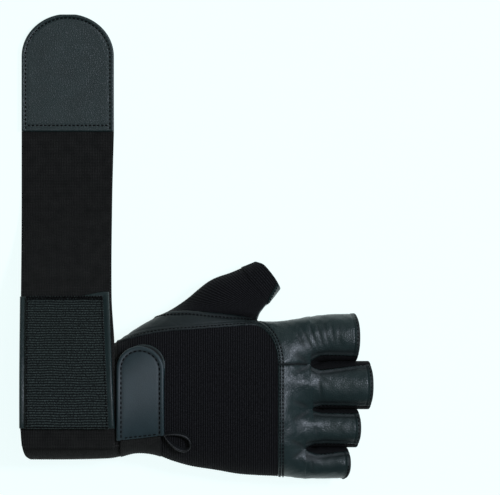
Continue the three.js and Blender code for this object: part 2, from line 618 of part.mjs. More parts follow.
// The wrap's leather end and the hook pad under it
const wrapMiddle = wrapLeft + STRAP_WIDTH / 2;
const endPatch = (margin, top, length, round) => ({
  rows: 12,
  columns: 4,
  at: (u, v, inset) => {
    const { down, half } = tabOutline(u, STRAP_WIDTH / 2 - margin, round, length);
    return strapPoint(wrapMiddle + lerp(-half, half, v), top - down, -inset);
  },
});
const tabLift = ELASTIC + LAYER_GAP + LEATHER;
const tabPatch = endPatch(0, WRAP_LENGTH, TAB_LENGTH, WRAP_ROUND * STRAP_WIDTH);
add("wrap_tab", "nappa", wall([tabPatch], LEATHER, tabLift));
const hookLength = TAB_LENGTH - TAB_OVERLAP - HOOK_MARGIN - SEAM_GAP;
const hookRound = HOOK_ROUND * STRAP_WIDTH;
const hookPatch = endPatch(HOOK_MARGIN, WRAP_LENGTH - HOOK_MARGIN, hookLength, hookRound);
add("wrap_hook", "fastener", wall([hookPatch], HOOK_THICKNESS, HOOK_THICKNESS));

// The closure over the back of the wrist: a leather tab on its fastener, and an elastic that runs from under
// the tab round the little-finger side.
const topPoint = (x, y, lift) => bodyPoint(x, angleAt(x, y), -lift);
const closureMiddle = CLOSURE_LEFT + CLOSURE_WIDTH / 2;
const closureRound = WRAP_ROUND * CLOSURE_WIDTH;
const closurePatch = (shift, margin, length) => ({
  rows: 14,
  columns: 4,
  at: (u, v, inset) => {
    const { down, half } = tabOutline(u, CLOSURE_WIDTH / 2 - margin, closureRound, length);
    return topPoint(closureMiddle + shift + lerp(-half, half, v), CLOSURE_TOP + shift - down, -inset);
  },
});
const fastenerLift = LAYER_GAP + FASTENER_THICKNESS;
const fastenerLength = CLOSURE_TOP - CLOSURE_BOTTOM - ELASTIC_TUCK - SEAM_GAP;
const fastenerPatch = closurePatch(FASTENER_SHIFT / 2, FASTENER_SHIFT / 2, fastenerLength);
add("closure_fastener", "fastener", wall([fastenerPatch], FASTENER_THICKNESS, fastenerLift));
const closureLift = fastenerLift + LAYER_GAP + CLOSURE_THICKNESS;
const closureLength = CLOSURE_TOP - CLOSURE_BOTTOM;
add("closure_tab", "nappa", wall([closurePatch(0, 0, closureLength)], CLOSURE_THICKNESS, closureLift));
const closureElastic = {
  rows: 12,
  columns: 2,
  at: (u, v, inset) => {
    const x = closureMiddle + (v - 0.5) * ELASTIC_WIDTH;
    const start = angleAt(x, CLOSURE_BOTTOM + ELASTIC_TUCK);
    return bodyPoint(x, lerp(start, ELASTIC_END * DEGREE, u), inset);
  },
};
add("closure_elastic", "elastic", wall([closureElastic], FASTENER_THICKNESS, fastenerLift));

// The pull loop: a tape that stands on its edge and is folded to a drop.
const LOOP_SWELL = 0.75; // makes the drop's widest place LOOP_WIDTH
const loopPoint = (u, v, inset) => {
  const round = v * 360 * DEGREE;
  const forward = ((LOOP_LENGTH - 2 * inset) * (1 - Math.cos(round))) / 2 + inset;
  const aside = LOOP_SWELL * (LOOP_WIDTH - 2 * inset) * Math.sin(round) * Math.sin(round / 2);
  const turn = LOOP_PLACE.turn * DEGREE;
  const x = LOOP_PLACE.x + forward * Math.cos(turn) - aside * Math.sin(turn);
  const y = LOOP_PLACE.y + forward * Math.sin(turn) + aside * Math.cos(turn);
  return topPoint(x, y, LAYER_GAP + u * LOOP_HEIGHT);
};
add("pull_loop", "tape", wall([{ rows: 2, columns: 24, at: loopPoint }], LOOP_TAPE));

export default glove;
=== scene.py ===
"""A right, half-finger weightlifting glove, palm down, with its wrist wrap laid out straight.

Sizes are millimetres in each section, and metres in the meshes. X runs to the fingertips, Y to the thumb and
Z up.
"""

import math

import bpy
import numpy as np
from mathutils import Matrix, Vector


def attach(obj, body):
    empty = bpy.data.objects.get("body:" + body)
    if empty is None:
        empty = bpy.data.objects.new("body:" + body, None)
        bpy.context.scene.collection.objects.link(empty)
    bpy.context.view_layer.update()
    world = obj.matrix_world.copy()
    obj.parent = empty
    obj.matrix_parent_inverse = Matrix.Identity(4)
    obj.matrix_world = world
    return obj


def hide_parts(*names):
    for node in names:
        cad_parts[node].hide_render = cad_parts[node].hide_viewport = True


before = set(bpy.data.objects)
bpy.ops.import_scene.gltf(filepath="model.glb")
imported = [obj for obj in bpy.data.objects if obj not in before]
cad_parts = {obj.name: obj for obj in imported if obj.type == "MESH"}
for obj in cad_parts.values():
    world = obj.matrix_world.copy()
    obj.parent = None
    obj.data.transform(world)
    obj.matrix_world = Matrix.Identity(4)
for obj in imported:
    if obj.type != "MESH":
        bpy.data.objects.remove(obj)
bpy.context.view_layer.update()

# The view, the floor and the light
# The glove is seen straight from above, as in the photograph, by a long lens: half a millimetre of the
# glove is about one pixel. It lies on a pale lit table, which keeps the ground even, under a broad soft
# light from overhead, a weaker one from the thumb's side and a small one from the stalls' side, which
# puts the cool spots on the leather's swellings.


def linear(code):
    """An sRGB hex colour as linear RGBA: each channel is decoded by the sRGB curve."""
    channels = np.array([int(code[i : i + 2], 16) / 255 for i in (1, 3, 5)])
    decoded = np.where(channels <= 0.04045, channels / 12.92, ((channels + 0.055) / 1.055) ** 2.4)
    return (*decoded.tolist(), 1.0)


def add_node(tree, kind, settings=None, **sockets):
    """Adds one node, with its settings and its inputs. An input that is another node's output is
    linked."""
    made = tree.nodes.new(kind)
    for name, value in (settings or {}).items():
        setattr(made, name, value)
    for name, value in sockets.items():
        socket = made.inputs[int(name[1:])] if name[1:].isdigit() else made.inputs[name.replace("_", " ")]
        if isinstance(value, bpy.types.NodeSocket):
            tree.links.new(value, socket)
        else:
            socket.default_value = value
    return made


def new_material(name):
    """A material with only its shader and its output, and the tree and the shader for what follows."""
    material = bpy.data.materials.new(name)
    material.use_nodes = True
    material.node_tree.nodes.clear()
    shader = add_node(material.node_tree, "ShaderNodeBsdfPrincipled")
    add_node(material.node_tree, "ShaderNodeOutputMaterial", None, Surface=shader.outputs[0])
    return material, material.node_tree, shader


PIXEL = 0.55
PICTURE_WIDTH, PICTURE_HEIGHT = 500, 495
# The photograph's pixel that lies over the frame's origin
ORIGIN_PIXEL = (201.6, 398.6)
CAMERA_HEIGHT = 6000
SENSOR = 36
# The height on the glove at which a pixel has its size
VIEW_PLANE = 25

camera_data = bpy.data.cameras.new("camera")
camera_data.sensor_width = SENSOR
camera_data.lens = SENSOR * (CAMERA_HEIGHT - VIEW_PLANE) / (PICTURE_WIDTH * PIXEL)
camera_data.clip_end = 50
camera = bpy.data.objects.new("camera", camera_data)
camera.location = (
    (PICTURE_WIDTH / 2 - ORIGIN_PIXEL[0]) * PIXEL / 1000,
    (ORIGIN_PIXEL[1] - PICTURE_HEIGHT / 2) * PIXEL / 1000,
    CAMERA_HEIGHT / 1000,
)
bpy.context.scene.collection.objects.link(camera)
bpy.context.scene.camera = camera

FLOOR_HALF = 1500
FLOOR_LEVEL = -0.3
floor_mesh = bpy.data.meshes.new("floor")
floor_corners = np.array([(-1, -1, 0), (1, -1, 0), (1, 1, 0), (-1, 1, 0)]) * FLOOR_HALF + (0, 0, FLOOR_LEVEL)
floor_mesh.from_pydata((floor_corners / 1000).tolist(), [], [(0, 1, 2, 3)])
floor = bpy.data.objects.new("floor", floor_mesh)
bpy.context.scene.collection.objects.link(floor)
# Opal acrylic, lit from below: matt and even, so that hardly any shadow shows on it
floor_paint, _, floor_shader = new_material("lit_opal_acrylic")
floor_shader.inputs["Base Color"].default_value = linear("#6a7070")
floor_shader.inputs["Roughness"].default_value = 0.9
floor_shader.inputs["Specular IOR Level"].default_value = 0.1
floor_shader.inputs["Emission Color"].default_value = linear("#f2ffff")
floor_shader.inputs["Emission Strength"].default_value = 0.95
floor_mesh.materials.append(floor_paint)

# Each light: place and aim in millimetres, size in millimetres, power in watts, and colour
LIGHTS = [
    {
        "name": "overhead",
        "place": (60, 150, 1500),
        "aim": (0, 60, 0),
        "size": 1000,
        "power": 2.1,
        "colour": "#f6fffd",
    },
    {
        "name": "thumb_side",
        "place": (200, 1400, 800),
        "aim": (20, 20, 20),
        "size": 700,
        "power": 0.9,
        "colour": "#f6fffd",
    },
    {
        "name": "finger_side",
        "place": (812, 276, 1276),
        "aim": (40, 0, 20),
        "size": 240,
        "power": 11.5,
        "colour": "#e6eeff",
    },
]
for light in LIGHTS:
    lamp_data = bpy.data.lights.new(light["name"], "AREA")
    lamp_data.size = light["size"] / 1000
    lamp_data.energy = light["power"]
    lamp_data.color = linear(light["colour"])[:3]
    lamp = bpy.data.objects.new(light["name"], lamp_data)
    place, aim = Vector(light["place"]) / 1000, Vector(light["aim"]) / 1000
    lamp.location = place
    lamp.rotation_euler = (aim - place).to_track_quat("-Z", "Y").to_euler()
    bpy.context.scene.collection.objects.link(lamp)
world = bpy.data.worlds.new("studio")
world.use_nodes = True
world.node_tree.nodes["Background"].inputs["Color"].default_value = linear("#f4fdff")
world.node_tree.nodes["Background"].inputs["Strength"].default_value = 0.12
bpy.context.scene.world = world
bpy.context.scene.view_settings.view_transform = "Standard"

# The wrist band
# Woven elastic that goes all round the wrist, sewn into a ring and to the glove's cuff. Its weft ribs run
# round the wrist. It is a wall on the glove's form, which the other panels share.

WRIST_WIDTH, WRIST_HEIGHT = 62, 39.5
PALM_LENGTH, PALM_WIDTH, PALM_HEIGHT = 88, 86, 35.5
CUFF_X = -46
KNUCKLE_X = CUFF_X + PALM_LENGTH
BAND_LENGTH = 53.5
BAND_MOUTH_X = CUFF_X - BAND_LENGTH
CUFF_SLANT = 6
MOUTH_SLANT = 3
REST_FLAT = 1.6
BACK_SQUARENESS, PALM_SQUARENESS = 2.35, 3
SEAM_GAP = 0.06
LAYER_GAP = 0.4
# Cross-sections of the wrist: place as a share of the band behind the cuff, edges as shares of the
# wrist's width
WRIST_SECTIONS = [
    {"behind": 1.02, "radial": 0.456, "ulnar": -0.544},
    {"behind": 0.5, "radial": 0.456, "ulnar": -0.544},
    {"behind": 0.1, "radial": 0.468, "ulnar": -0.535},
    {"behind": 0, "radial": 0.512, "ulnar": -0.522},
]
# Cross-sections of the glove: place as a share of the palm's length, edges as shares of its width, the
# back's crown and the widest level as shares of its height
PALM_SECTIONS = [
    {"along": 0.114, "radial": 0.448, "ulnar": -0.348, "crown": 1.087, "level": 0.521},
    {"along": 0.227, "radial": 0.515, "ulnar": -0.358, "crown": 1.059, "level": 0.487},
    {"along": 0.341, "radial": 0.57, "ulnar": -0.4, "crown": 1.031, "level": 0.456},
    {"along": 0.455, "radial": 0.599, "ulnar": -0.433, "crown": 1.008, "level": 0.44},
    {"along": 0.614, "radial": 0.587, "ulnar": -0.459, "crown": 0.986, "level": 0.434},
    {"along": 0.75, "radial": 0.547, "ulnar": -0.483, "crown": 0.986, "level": 0.44},
    {"along": 0.864, "radial": 0.501, "ulnar": -0.492, "crown": 0.997, "level": 0.451},
    {"along": 1, "radial": 0.493, "ulnar": -0.498, "crown": 1, "level": 0.465},
    {"along": 1.205, "radial": 0.52, "ulnar": -0.512, "crown": 0.93, "level": 0.465},
    {"along": 1.5, "radial": 0.535, "ulnar": -0.508, "crown": 0.8, "level": 0.465},
]


def body_column(key, wrist_size, palm_size):
    """One column of the two tables in millimetres, from the wrist to the stalls."""
    wrist = [row.get(key, 1) * wrist_size for row in WRIST_SECTIONS]
    return np.array(wrist + [row[key] * palm_size for row in PALM_SECTIONS])


body_x = np.array(
    [CUFF_X - row["behind"] * BAND_LENGTH for row in WRIST_SECTIONS]
    + [CUFF_X + row["along"] * PALM_LENGTH for row in PALM_SECTIONS]
)
body_radial = body_column("radial", WRIST_WIDTH, PALM_WIDTH)
body_ulnar = body_column("ulnar", WRIST_WIDTH, PALM_WIDTH)
body_crown = body_column("crown", WRIST_HEIGHT, PALM_HEIGHT)
body_level = body_column("level", WRIST_HEIGHT / 2, PALM_HEIGHT)


def cubic(start, step, leaving, arriving, t):
    """A cubic piece from a start over a step, at a share t of it, with its slopes where it leaves and
    arrives."""
    bend, twist = 3 * step - 2 * leaving - arriving, leaving + arriving - 2 * step
    return start + leaving * t + bend * t**2 + twist * t**3


def curve_through(places, values, x):
    """A smooth curve through a table: cubic pieces whose slope at a row is that between the rows on its
    two sides."""
    before = np.maximum(np.arange(len(places)) - 1, 0)
    after = np.minimum(np.arange(len(places)) + 1, len(places) - 1)
    slopes = (values[after] - values[before]) / (places[after] - places[before])
    i = np.clip(np.searchsorted(places, x) - 1, 0, len(places) - 2)
    span = places[i + 1] - places[i]
    t = np.clip((x - places[i]) / span, 0, 1)
    return cubic(values[i], values[i + 1] - values[i], slopes[i] * span, slopes[i + 1] * span, t)


def mix(a, b, t):
    """The point at a share t of the way from a to b."""
    return a + (b - a) * t


def soft_step(value, low, high):
    """A smooth step from 0 at low to 1 at high, level at both."""
    t = np.clip((value - low) / (high - low), 0, 1)
    return t * t * (3 - 2 * t)


def ridge(distance, place, width):
    """A rounded ridge of height 1 at a place: a bell curve of that width."""
    return np.exp(-(((distance - place) / width) ** 2))


def signed_power(value, exponent):
    """The value's size to a power, with the value's own sign."""
    return np.sign(value) * np.abs(value) ** exponent


def on_body(x, angle, inset):
    """A point on the glove's form: a half superellipse over its widest level and a squarer one under it,
    shrunk by the inset. What would reach below the floor is pressed flat. An angle of 0 is the thumb
    side, 90 degrees the back."""
    x, angle, inset = np.broadcast_arrays(x, angle, inset)
    radial = curve_through(body_x, body_radial, x) - inset
    ulnar = curve_through(body_x, body_ulnar, x) + inset
    level = curve_through(body_x, body_level, x)
    crown = curve_through(body_x, body_crown, x)
    up = np.sin(angle)
    power = np.where(up > 0, 2 / BACK_SQUARENESS, 2 / PALM_SQUARENESS)
    reach = np.where(up > 0, crown - inset - level, level + REST_FLAT - inset)
    y = (radial + ulnar) / 2 + (radial - ulnar) / 2 * signed_power(np.cos(angle), power)
    return np.stack([x, y, np.maximum(level + reach * signed_power(up, power), np.maximum(inset, 0))], -1)


def angle_at(x, y, side=1):
    """The angle on the body's back, or on its palm for side -1, that lies at y."""
    radial, ulnar = curve_through(body_x, body_radial, x), curve_through(body_x, body_ulnar, x)
    share = np.clip((2 * y - radial - ulnar) / (radial - ulnar), -1, 1)
    return side * np.arccos(signed_power(share, (BACK_SQUARENESS if side > 0 else PALM_SQUARENESS) / 2))


def crowded(count, length, edge=1.2):
    """Shares from 0 to 1 over a length in millimetres: even steps, with four short ones at each end for
    its edge."""
    near = edge * np.array([0, 0.12, 0.32, 0.6])
    return np.concatenate([near, np.linspace(edge, length - edge, count), length - near[::-1]]) / length


def rounded_edge(distance, radius):
    """How far a surface drops at a distance from its edge: a quarter circle of that radius."""
    left = np.clip(radius - distance, 0, radius)
    return radius - np.sqrt(radius**2 - left**2)


def new_piece(name, points, quads, places, paint, sharp=50):
    """A smooth mesh object from points and corner map places in millimetres and four-sided faces, which
    are turned round if they enclose less than nothing. It takes the paint it is given."""
    points, places = points / 1000, places / 1000
    corners = points[quads]
    volume = np.einsum("ij,ij->", corners[:, 0], np.cross(corners[:, 1], corners[:, 2]))
    volume += np.einsum("ij,ij->", corners[:, 0], np.cross(corners[:, 2], corners[:, 3]))
    if volume < 0:
        quads, places = quads[:, ::-1], places[:, ::-1]
    mesh = bpy.data.meshes.new(name)
    mesh.vertices.add(len(points))
    mesh.vertices.foreach_set("co", np.ascontiguousarray(points, np.float32).reshape(-1))
    mesh.loops.add(quads.size)
    mesh.loops.foreach_set("vertex_index", np.ascontiguousarray(quads, np.int32).reshape(-1))
    mesh.polygons.add(len(quads))
    mesh.polygons.foreach_set("loop_start", np.arange(0, quads.size, 4, dtype=np.int32))
    mesh.update(calc_edges=True)
    mesh.polygons.foreach_set("use_smooth", np.ones(len(quads), bool))
    surface_map = mesh.uv_layers.new(name="surface")
    surface_map.data.foreach_set("uv", np.ascontiguousarray(places, np.float32).reshape(-1))
    mesh.validate()
    mesh.set_sharp_from_angle(angle=math.radians(sharp))
    mesh.materials.append(paint)
    piece = bpy.data.objects.new(name, mesh)
    bpy.context.scene.collection.objects.link(piece)
    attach(piece, "root")
    return piece


# Points join that round to the same of so many steps a millimetre
JOIN_STEPS = 200


def wall(node, name, patches, paint):
    """A closed wall that stands for a CAD node, where one is named. It is made from patches, each a grid
    of outer points, of inner points and of map places in millimetres, and perhaps of how far it is drawn
    darker, by painted shade or a dark tone of its own. Outer points that coincide are joined, the inner
    surface is turned round, and a strip closes each free edge."""
    outer, inner = [np.concatenate([patch[side].reshape(-1, 3) for patch in patches]) for side in (0, 1)]
    places = np.concatenate([patch[2].reshape(-1, 2) for patch in patches])
    quads, start = [], 0
    for patch in patches:
        rows, columns = patch[0].shape[:2]
        corner = start + np.arange(rows * columns).reshape(rows, columns)
        around = [corner[:-1, :-1], corner[1:, :-1], corner[1:, 1:], corner[:-1, 1:]]
        quads.append(np.stack(around, -1).reshape(-1, 4))
        start += rows * columns
    quads = np.concatenate(quads)
    rounded = np.round(outer * JOIN_STEPS).astype(int)
    _, first, joined = np.unique(rounded, axis=0, return_index=True, return_inverse=True)
    count = len(first)
    faces = joined.reshape(-1)[quads]
    tails, heads = faces.reshape(-1), np.roll(faces, -1, 1).reshape(-1)
    free = ~np.isin(tails * count + heads, heads * count + tails)
    a, b = tails[free], heads[free]
    strip = np.stack([b, a, a + count, b + count], -1)
    from_place, to_place = places[quads.reshape(-1)[free]], places[np.roll(quads, -1, 1).reshape(-1)[free]]
    strip_places = np.stack([to_place, from_place, from_place, to_place], 1)
    everything = np.concatenate([faces, faces[:, ::-1] + count, strip])
    everything_places = np.concatenate([places[quads], places[quads[:, ::-1]], strip_places])
    points = np.concatenate([outer[first], inner[first]])
    piece = new_piece(name, points, everything, everything_places, paint)
    # The painted shade and dark tones are kept as a point attribute, which the leather's paint reads
    if len(patches[0]) > 3:
        shaded_and_dark = np.concatenate([patch[3].reshape(-1) for patch in patches])[first]
        painted_shade_and_dark = piece.data.attributes.new("painted_shade_and_dark", "FLOAT", "POINT")
        painted_shade_and_dark.data.foreach_set("value", np.concatenate([shaded_and_dark, shaded_and_dark]).astype(np.float32))
    if node:
        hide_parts(node)
    return piece


def cuff_x(angle):
    """Where the cuff seam runs: further forward towards the little-finger side."""
    return CUFF_X + CUFF_SLANT * ((1 - np.cos(angle)) / 2) ** 2


def on_map(points_like, u, v):
    """Map places in millimetres for a grid of points."""
    return np.stack(np.broadcast_arrays(u, v, points_like[..., 0])[:2], -1).astype(float)


# A wave node repeats every 0.31416 of its scale's unit, so this over a pitch gives that pitch
WAVE = 0.31416


def surface_place(tree):
    """The place on a piece's own map, in millimetres, for the patterns that run with the cloth."""
    surface_map = add_node(tree, "ShaderNodeUVMap", {"uv_map": "surface"})
    scaled = add_node(
        tree, "ShaderNodeMapping", None, Vector=surface_map.outputs[0], Scale=(1000, 1000, 1000)
    )
    return scaled.outputs[0]


def bands(tree, place, direction, pitch, **sockets):
    """Bands of a pitch in millimetres, as a share from 0 in the gaps to 1 on the crowns."""
    settings = {"wave_type": "BANDS", "bands_direction": direction}
    made = add_node(tree, "ShaderNodeTexWave", settings, Vector=place, Scale=WAVE / pitch, **sockets)
    return made.outputs["Fac"]


def product(tree, first, second):
    """The product of two shares."""
    return add_node(tree, "ShaderNodeMath", {"operation": "MULTIPLY"}, _0=first, _1=second).outputs[0]


def blend(tree, share, dark, light):
    """A colour between two others, by a share."""
    made = add_node(tree, "ShaderNodeMix", {"data_type": "RGBA"}, Factor=share, _6=dark, _7=light)
    return made.outputs[2]


def set_bump(tree, shader, height, strength, depth):
    """Bump by a share, of a depth in millimetres."""
    made = add_node(tree, "ShaderNodeBump", None, Height=height, Strength=strength, Distance=depth / 1000)
    tree.links.new(made.outputs[0], shader.inputs["Normal"])


ELASTIC_THICKNESS = 1.6
BAND_RIB = 1.1
BAND_RIB_DEPTH = 0.16
BAND_AROUND = 165
FOLD_ANGLES = (134, 140)
# The shares of the way round between which the columns crowd, for the fold
FOLD_SHARES = (0.3663, 0.3957)
MOUTH_CORNER_ROUND = 1.6

# Woven polyester and rubber elastic: dull black ribs, each crossed by fine warp threads that are painted
# lighter, a painted highlight where they would catch a little light
elastic_paint, elastic_tree, elastic_shader = new_material("woven_polyester_elastic")
elastic_shader.inputs["Roughness"].default_value = 0.88
elastic_shader.inputs["Specular IOR Level"].default_value = 0.15
elastic_shader.inputs["Sheen Weight"].default_value = 0.02
elastic_shader.inputs["Sheen Roughness"].default_value = 0.5
WARP_PITCH = 0.9
elastic_place = surface_place(elastic_tree)
elastic_warp_and_highlight = bands(elastic_tree, elastic_place, "Y", WARP_PITCH, Distortion=3, Detail=1)
elastic_fade = add_node(elastic_tree, "ShaderNodeTexNoise", None, Vector=elastic_place, Scale=0.18, Detail=4)
elastic_share = product(elastic_tree, elastic_warp_and_highlight, elastic_fade.outputs[0])
elastic_colour = blend(elastic_tree, elastic_share, linear("#111211"), linear("#393836"))
elastic_tree.links.new(elastic_colour, elastic_shader.inputs["Base Color"])
set_bump(elastic_tree, elastic_shader, elastic_warp_and_highlight, 0.5, 0.1)

band_u = crowded(180, BAND_LENGTH)[:, None]
band_v = np.sort(np.concatenate([np.linspace(0, 1, 181), np.linspace(*FOLD_SHARES, 25)]))[None, :]
band_angle = band_v * 2 * math.pi
# The mouth is slanted back on the little-finger side, and its corner there is round
ulnar_share = (1 - np.cos(band_angle)) / 2
band_start = BAND_MOUTH_X + MOUTH_SLANT * ulnar_share**9 + MOUTH_CORNER_ROUND * ulnar_share**60
band_length = cuff_x(band_angle) - SEAM_GAP / 2 - band_start
band_x = band_start + band_u * band_length
band_relief = BAND_RIB_DEPTH * (np.cos(2 * math.pi * band_u * band_length / BAND_RIB) - 1)
band_relief = band_relief - rounded_edge(np.minimum(band_u, 1 - band_u) * BAND_LENGTH, 0.7)
# The ring's overlap ends on the little-finger side of the back, in a low raised fold
fold_angle = np.radians(mix(FOLD_ANGLES[0], FOLD_ANGLES[1], band_u))
past_fold = (band_angle - fold_angle) * WRIST_WIDTH / 2
band_relief = band_relief + 0.9 * ridge(past_fold, 0, 0.4)
band_relief = band_relief - 0.3 * soft_step(past_fold, 0, 1.5) * (band_angle < math.pi)
# The seam allowance at the cuff turns in under the other panels' edges
allowance = np.array([0.4, 0.9, 1.5])[:, None]
band_x = np.concatenate([band_x, cuff_x(band_angle) - SEAM_GAP / 2 + allowance])
band_relief = np.concatenate([band_relief, -1.7 - 0.4 * allowance + 0 * band_angle])
band_u = np.concatenate([band_u, 1 + allowance / BAND_LENGTH])
band_inner = on_body(band_x, band_angle, np.maximum(ELASTIC_THICKNESS, 0.6 - band_relief))
band_outer = on_body(band_x, band_angle, -band_relief)
wrist_band = wall(
    "wrist_band",
    "wrist_elastic",
    [(band_outer, band_inner, on_map(band_outer, band_u * BAND_LENGTH, band_v * BAND_AROUND))],
    elastic_paint,
)

# The knit back
# Ribbed polyester knit over the glove's back, cut in one piece and sewn under the leather's edge. Its
# ribs run across the glove and are modelled; the loops along each rib are bump.

SIDE_SEAM, ULNAR_SEAM = math.radians(-20), math.radians(194)
KNIT_THICKNESS = 1.5
KNIT_RIB = 1.25
KNIT_RIB_DEPTH = 0.24
# The knit's edge along the thumb side, as shares of the palm's length and width, and where its round
# corner ends
KNIT_EDGE = [
    {"along": 0, "across": 0.36},
    {"along": 0.22, "across": 0.42},
    {"along": 0.5, "across": 0.446},
    {"along": 0.835, "across": 0.471},
]
CORNER_END_Y = 0.222 * PALM_WIDTH
edge_x = np.array([CUFF_X + row["along"] * PALM_LENGTH for row in KNIT_EDGE])
edge_y = np.array([row["across"] * PALM_WIDTH for row in KNIT_EDGE])


def knit_edge(share, margin):
    """The knit's border: a curve from the cuff for the first half, then a quarter ellipse to the knuckle
    seam."""
    straight_x = mix(CUFF_X, edge_x[-1], np.minimum(2 * share, 1))
    straight_y = curve_through(edge_x, edge_y, straight_x) + margin
    turn = np.clip(share - 0.5, 0, 0.5) * math.pi
    round_x = edge_x[-1] + (KNUCKLE_X + margin - edge_x[-1]) * np.sin(turn)
    round_y = CORNER_END_Y + (edge_y[-1] - CORNER_END_Y + margin) * np.cos(turn)
    return np.where(share > 0.5, round_x, straight_x), np.where(share > 0.5, round_y, straight_y)


def on_back(u, v, inset):
    """The knit back: straight lines of constant share from the knit's border to the seam with the palm
    leather."""
    x, y = knit_edge(u, -SEAM_GAP / 2)
    end = ULNAR_SEAM - SEAM_GAP / PALM_HEIGHT
    angle = mix(angle_at(x, y), end, v)
    start = cuff_x(angle) + SEAM_GAP / 2
    return on_body(start + (x - CUFF_X) * (KNUCKLE_X - start) / (KNUCKLE_X - CUFF_X), angle, inset)


# Ribbed polyester knit with hardly any gloss. The crown of each rib is painted lighter than its grooves:
# painted light and shade over the modelled ribs
knit_paint, knit_tree, knit_shader = new_material("ribbed_polyester_knit")
knit_shader.inputs["Roughness"].default_value = 0.92
knit_shader.inputs["Specular IOR Level"].default_value = 0.12
knit_shader.inputs["Sheen Weight"].default_value = 0.02
LOOP_PITCH = 0.9
knit_place = surface_place(knit_tree)
knit_rib_light_and_shade = bands(knit_tree, knit_place, "X", KNIT_RIB, Phase_Offset=math.pi / 2)
knit_loop = bands(knit_tree, knit_place, "Y", LOOP_PITCH, Distortion=1.5, Detail=1)
knit_fade = add_node(knit_tree, "ShaderNodeTexNoise", None, Vector=knit_place, Scale=1.3, Detail=4)
knit_speckle = add_node(
    knit_tree, "ShaderNodeMapRange", None, Value=knit_fade.outputs[0], From_Min=0.2, From_Max=0.8, To_Max=0.9
)
knit_share = product(knit_tree, knit_rib_light_and_shade, knit_speckle.outputs[0])
knit_tree.links.new(
    blend(knit_tree, knit_share, linear("#08080a"), linear("#313133")), knit_shader.inputs["Base Color"]
)
set_bump(knit_tree, knit_shader, knit_loop, 0.6, 0.15)

BACK_AROUND = 85
# Even steps in x over the border, so that each rib gets the same number of faces, and finer ones round
# the corner
edge_shares = np.linspace(0, 1, 2001)
edge_reach = knit_edge(edge_shares, 0)[0]
back_u = np.interp(np.linspace(CUFF_X, KNUCKLE_X, 380), edge_reach, edge_shares)[:-1]
back_u = np.concatenate([back_u, np.linspace(back_u[-1], 1, 14)[1:]])[:, None]
back_v = crowded(84, BACK_AROUND)[None, :]
back_flat = on_back(back_u, back_v, 0)
back_relief = KNIT_RIB_DEPTH * (np.abs(np.cos(math.pi * back_flat[..., 0] / KNIT_RIB)) ** 0.7 - 0.8)
back_outer = on_back(back_u, back_v, -back_relief)
back_inner = on_back(back_u, back_v, KNIT_THICKNESS)
wall(
    "back_panel",
    "knit_back",
    [(back_outer, back_inner, on_map(back_outer, back_flat[..., 0], back_v * BACK_AROUND))],
    knit_paint,
)

# The leather of the stalls
# Soft black nappa, cut from a hide, moulded in front of the knuckle seam and folded under at each stall's
# mouth and slot. Its grain is bump; its puckers, hems, rolled seam edges and stitches are modelled.

STALL_REACH = 52.6
FINGER_WIDTH, FINGER_HEIGHT = 25.2, 23.5
MOUTH_SLOPE = 3
CROTCH_ROUND = 5
BLEND_START, BLEND_END = 0.03, 0.46
LEATHER_THICKNESS = 1.4
# The stalls: mouth as a share of the reach, centre as a share of the palm's width, size as shares of the
# largest stall's, level as a share of the palm's height, and the degrees between which back and palm
# leather cover them. The thumb-side back lip of two of them lies higher at the crotch and lower at the
# mouth by a sway in degrees
FINGERS = [
    {
        "reach": 0.861,
        "centre": 0.392,
        "width": 1,
        "height": 1,
        "level": 0.465,
        "back": (-20, 143),
        "palm": (-20, -145),
    },
    {
        "reach": 1,
        "centre": 0.085,
        "width": 1,
        "height": 1,
        "level": 0.473,
        "back": (38, 152),
        "palm": (-35, -145),
        "sway": 11,
    },
    {
        "reach": 0.871,
        "centre": -0.188,
        "width": 0.78,
        "height": 0.91,
        "level": 0.451,
        "back": (36, 152),
        "palm": (-35, -145),
    },
    {
        "reach": 0.764,
        "centre": -0.417,
        "width": 0.65,
        "height": 0.8,
        "level": 0.413,
        "back": (44, 194),
        "palm": (-35, -166),
        "sway": 8,
    },
]
# Where the slots start on the back and on the palm, as shares of the reach, and where across
CROTCHES = [
    {"back": 0.337, "palm": 0.56, "across": 0.222},
    {"back": 0.362, "palm": 0.58, "across": -0.07},
    {"back": 0.285, "palm": 0.47, "across": -0.318},
]
ARMHOLE_X, ARMHOLE_HALF = CUFF_X + 0.545 * PALM_LENGTH, 0.318 * PALM_LENGTH
ARMHOLE_BACK, ARMHOLE_PALM = 44, 26
FINGER_SQUARENESS = 2.2


def on_finger(finger, x, angle, inset):
    """A point on a stall: a superellipse a little squarer than an ellipse, shrunk by the inset."""
    power = 2 / FINGER_SQUARENESS
    half_width = finger["width"] * FINGER_WIDTH / 2 - inset
    half_height = finger["height"] * FINGER_HEIGHT / 2 - inset
    y = finger["centre"] * PALM_WIDTH + half_width * signed_power(np.cos(angle), power)
    z = finger["level"] * PALM_HEIGHT + half_height * signed_power(np.sin(angle), power)
    return np.stack(np.broadcast_arrays(x, y, z), -1)


def mouth_x(finger, angle):
    """The stall's mouth: the top reaches furthest, and the sides and the palm lie back."""
    return KNUCKLE_X + finger["reach"] * STALL_REACH - MOUTH_SLOPE * (1 - np.sin(angle))


def crotch_x(slot, side):
    """Where a slot starts on the back (side 1) or on the palm (side -1)."""
    return KNUCKLE_X + CROTCHES[slot]["back" if side > 0 else "palm"] * STALL_REACH


def opened(length):
    """How far a slot has opened at a length past its crotch: a round end, then its full width."""
    return np.clip(length / CROTCH_ROUND, 0, 1) ** 0.28


def has_slot(lane, edge):
    """Whether the leather over a finger has a slot at its first edge (0) or its last (1)."""
    return 0 < lane + edge < len(FINGERS)


def slots_of(lane):
    """The slots at a lane's two edges, and the nearest one for an edge that has none."""
    return min(max(lane - 1, 0), 2), min(lane, 2)


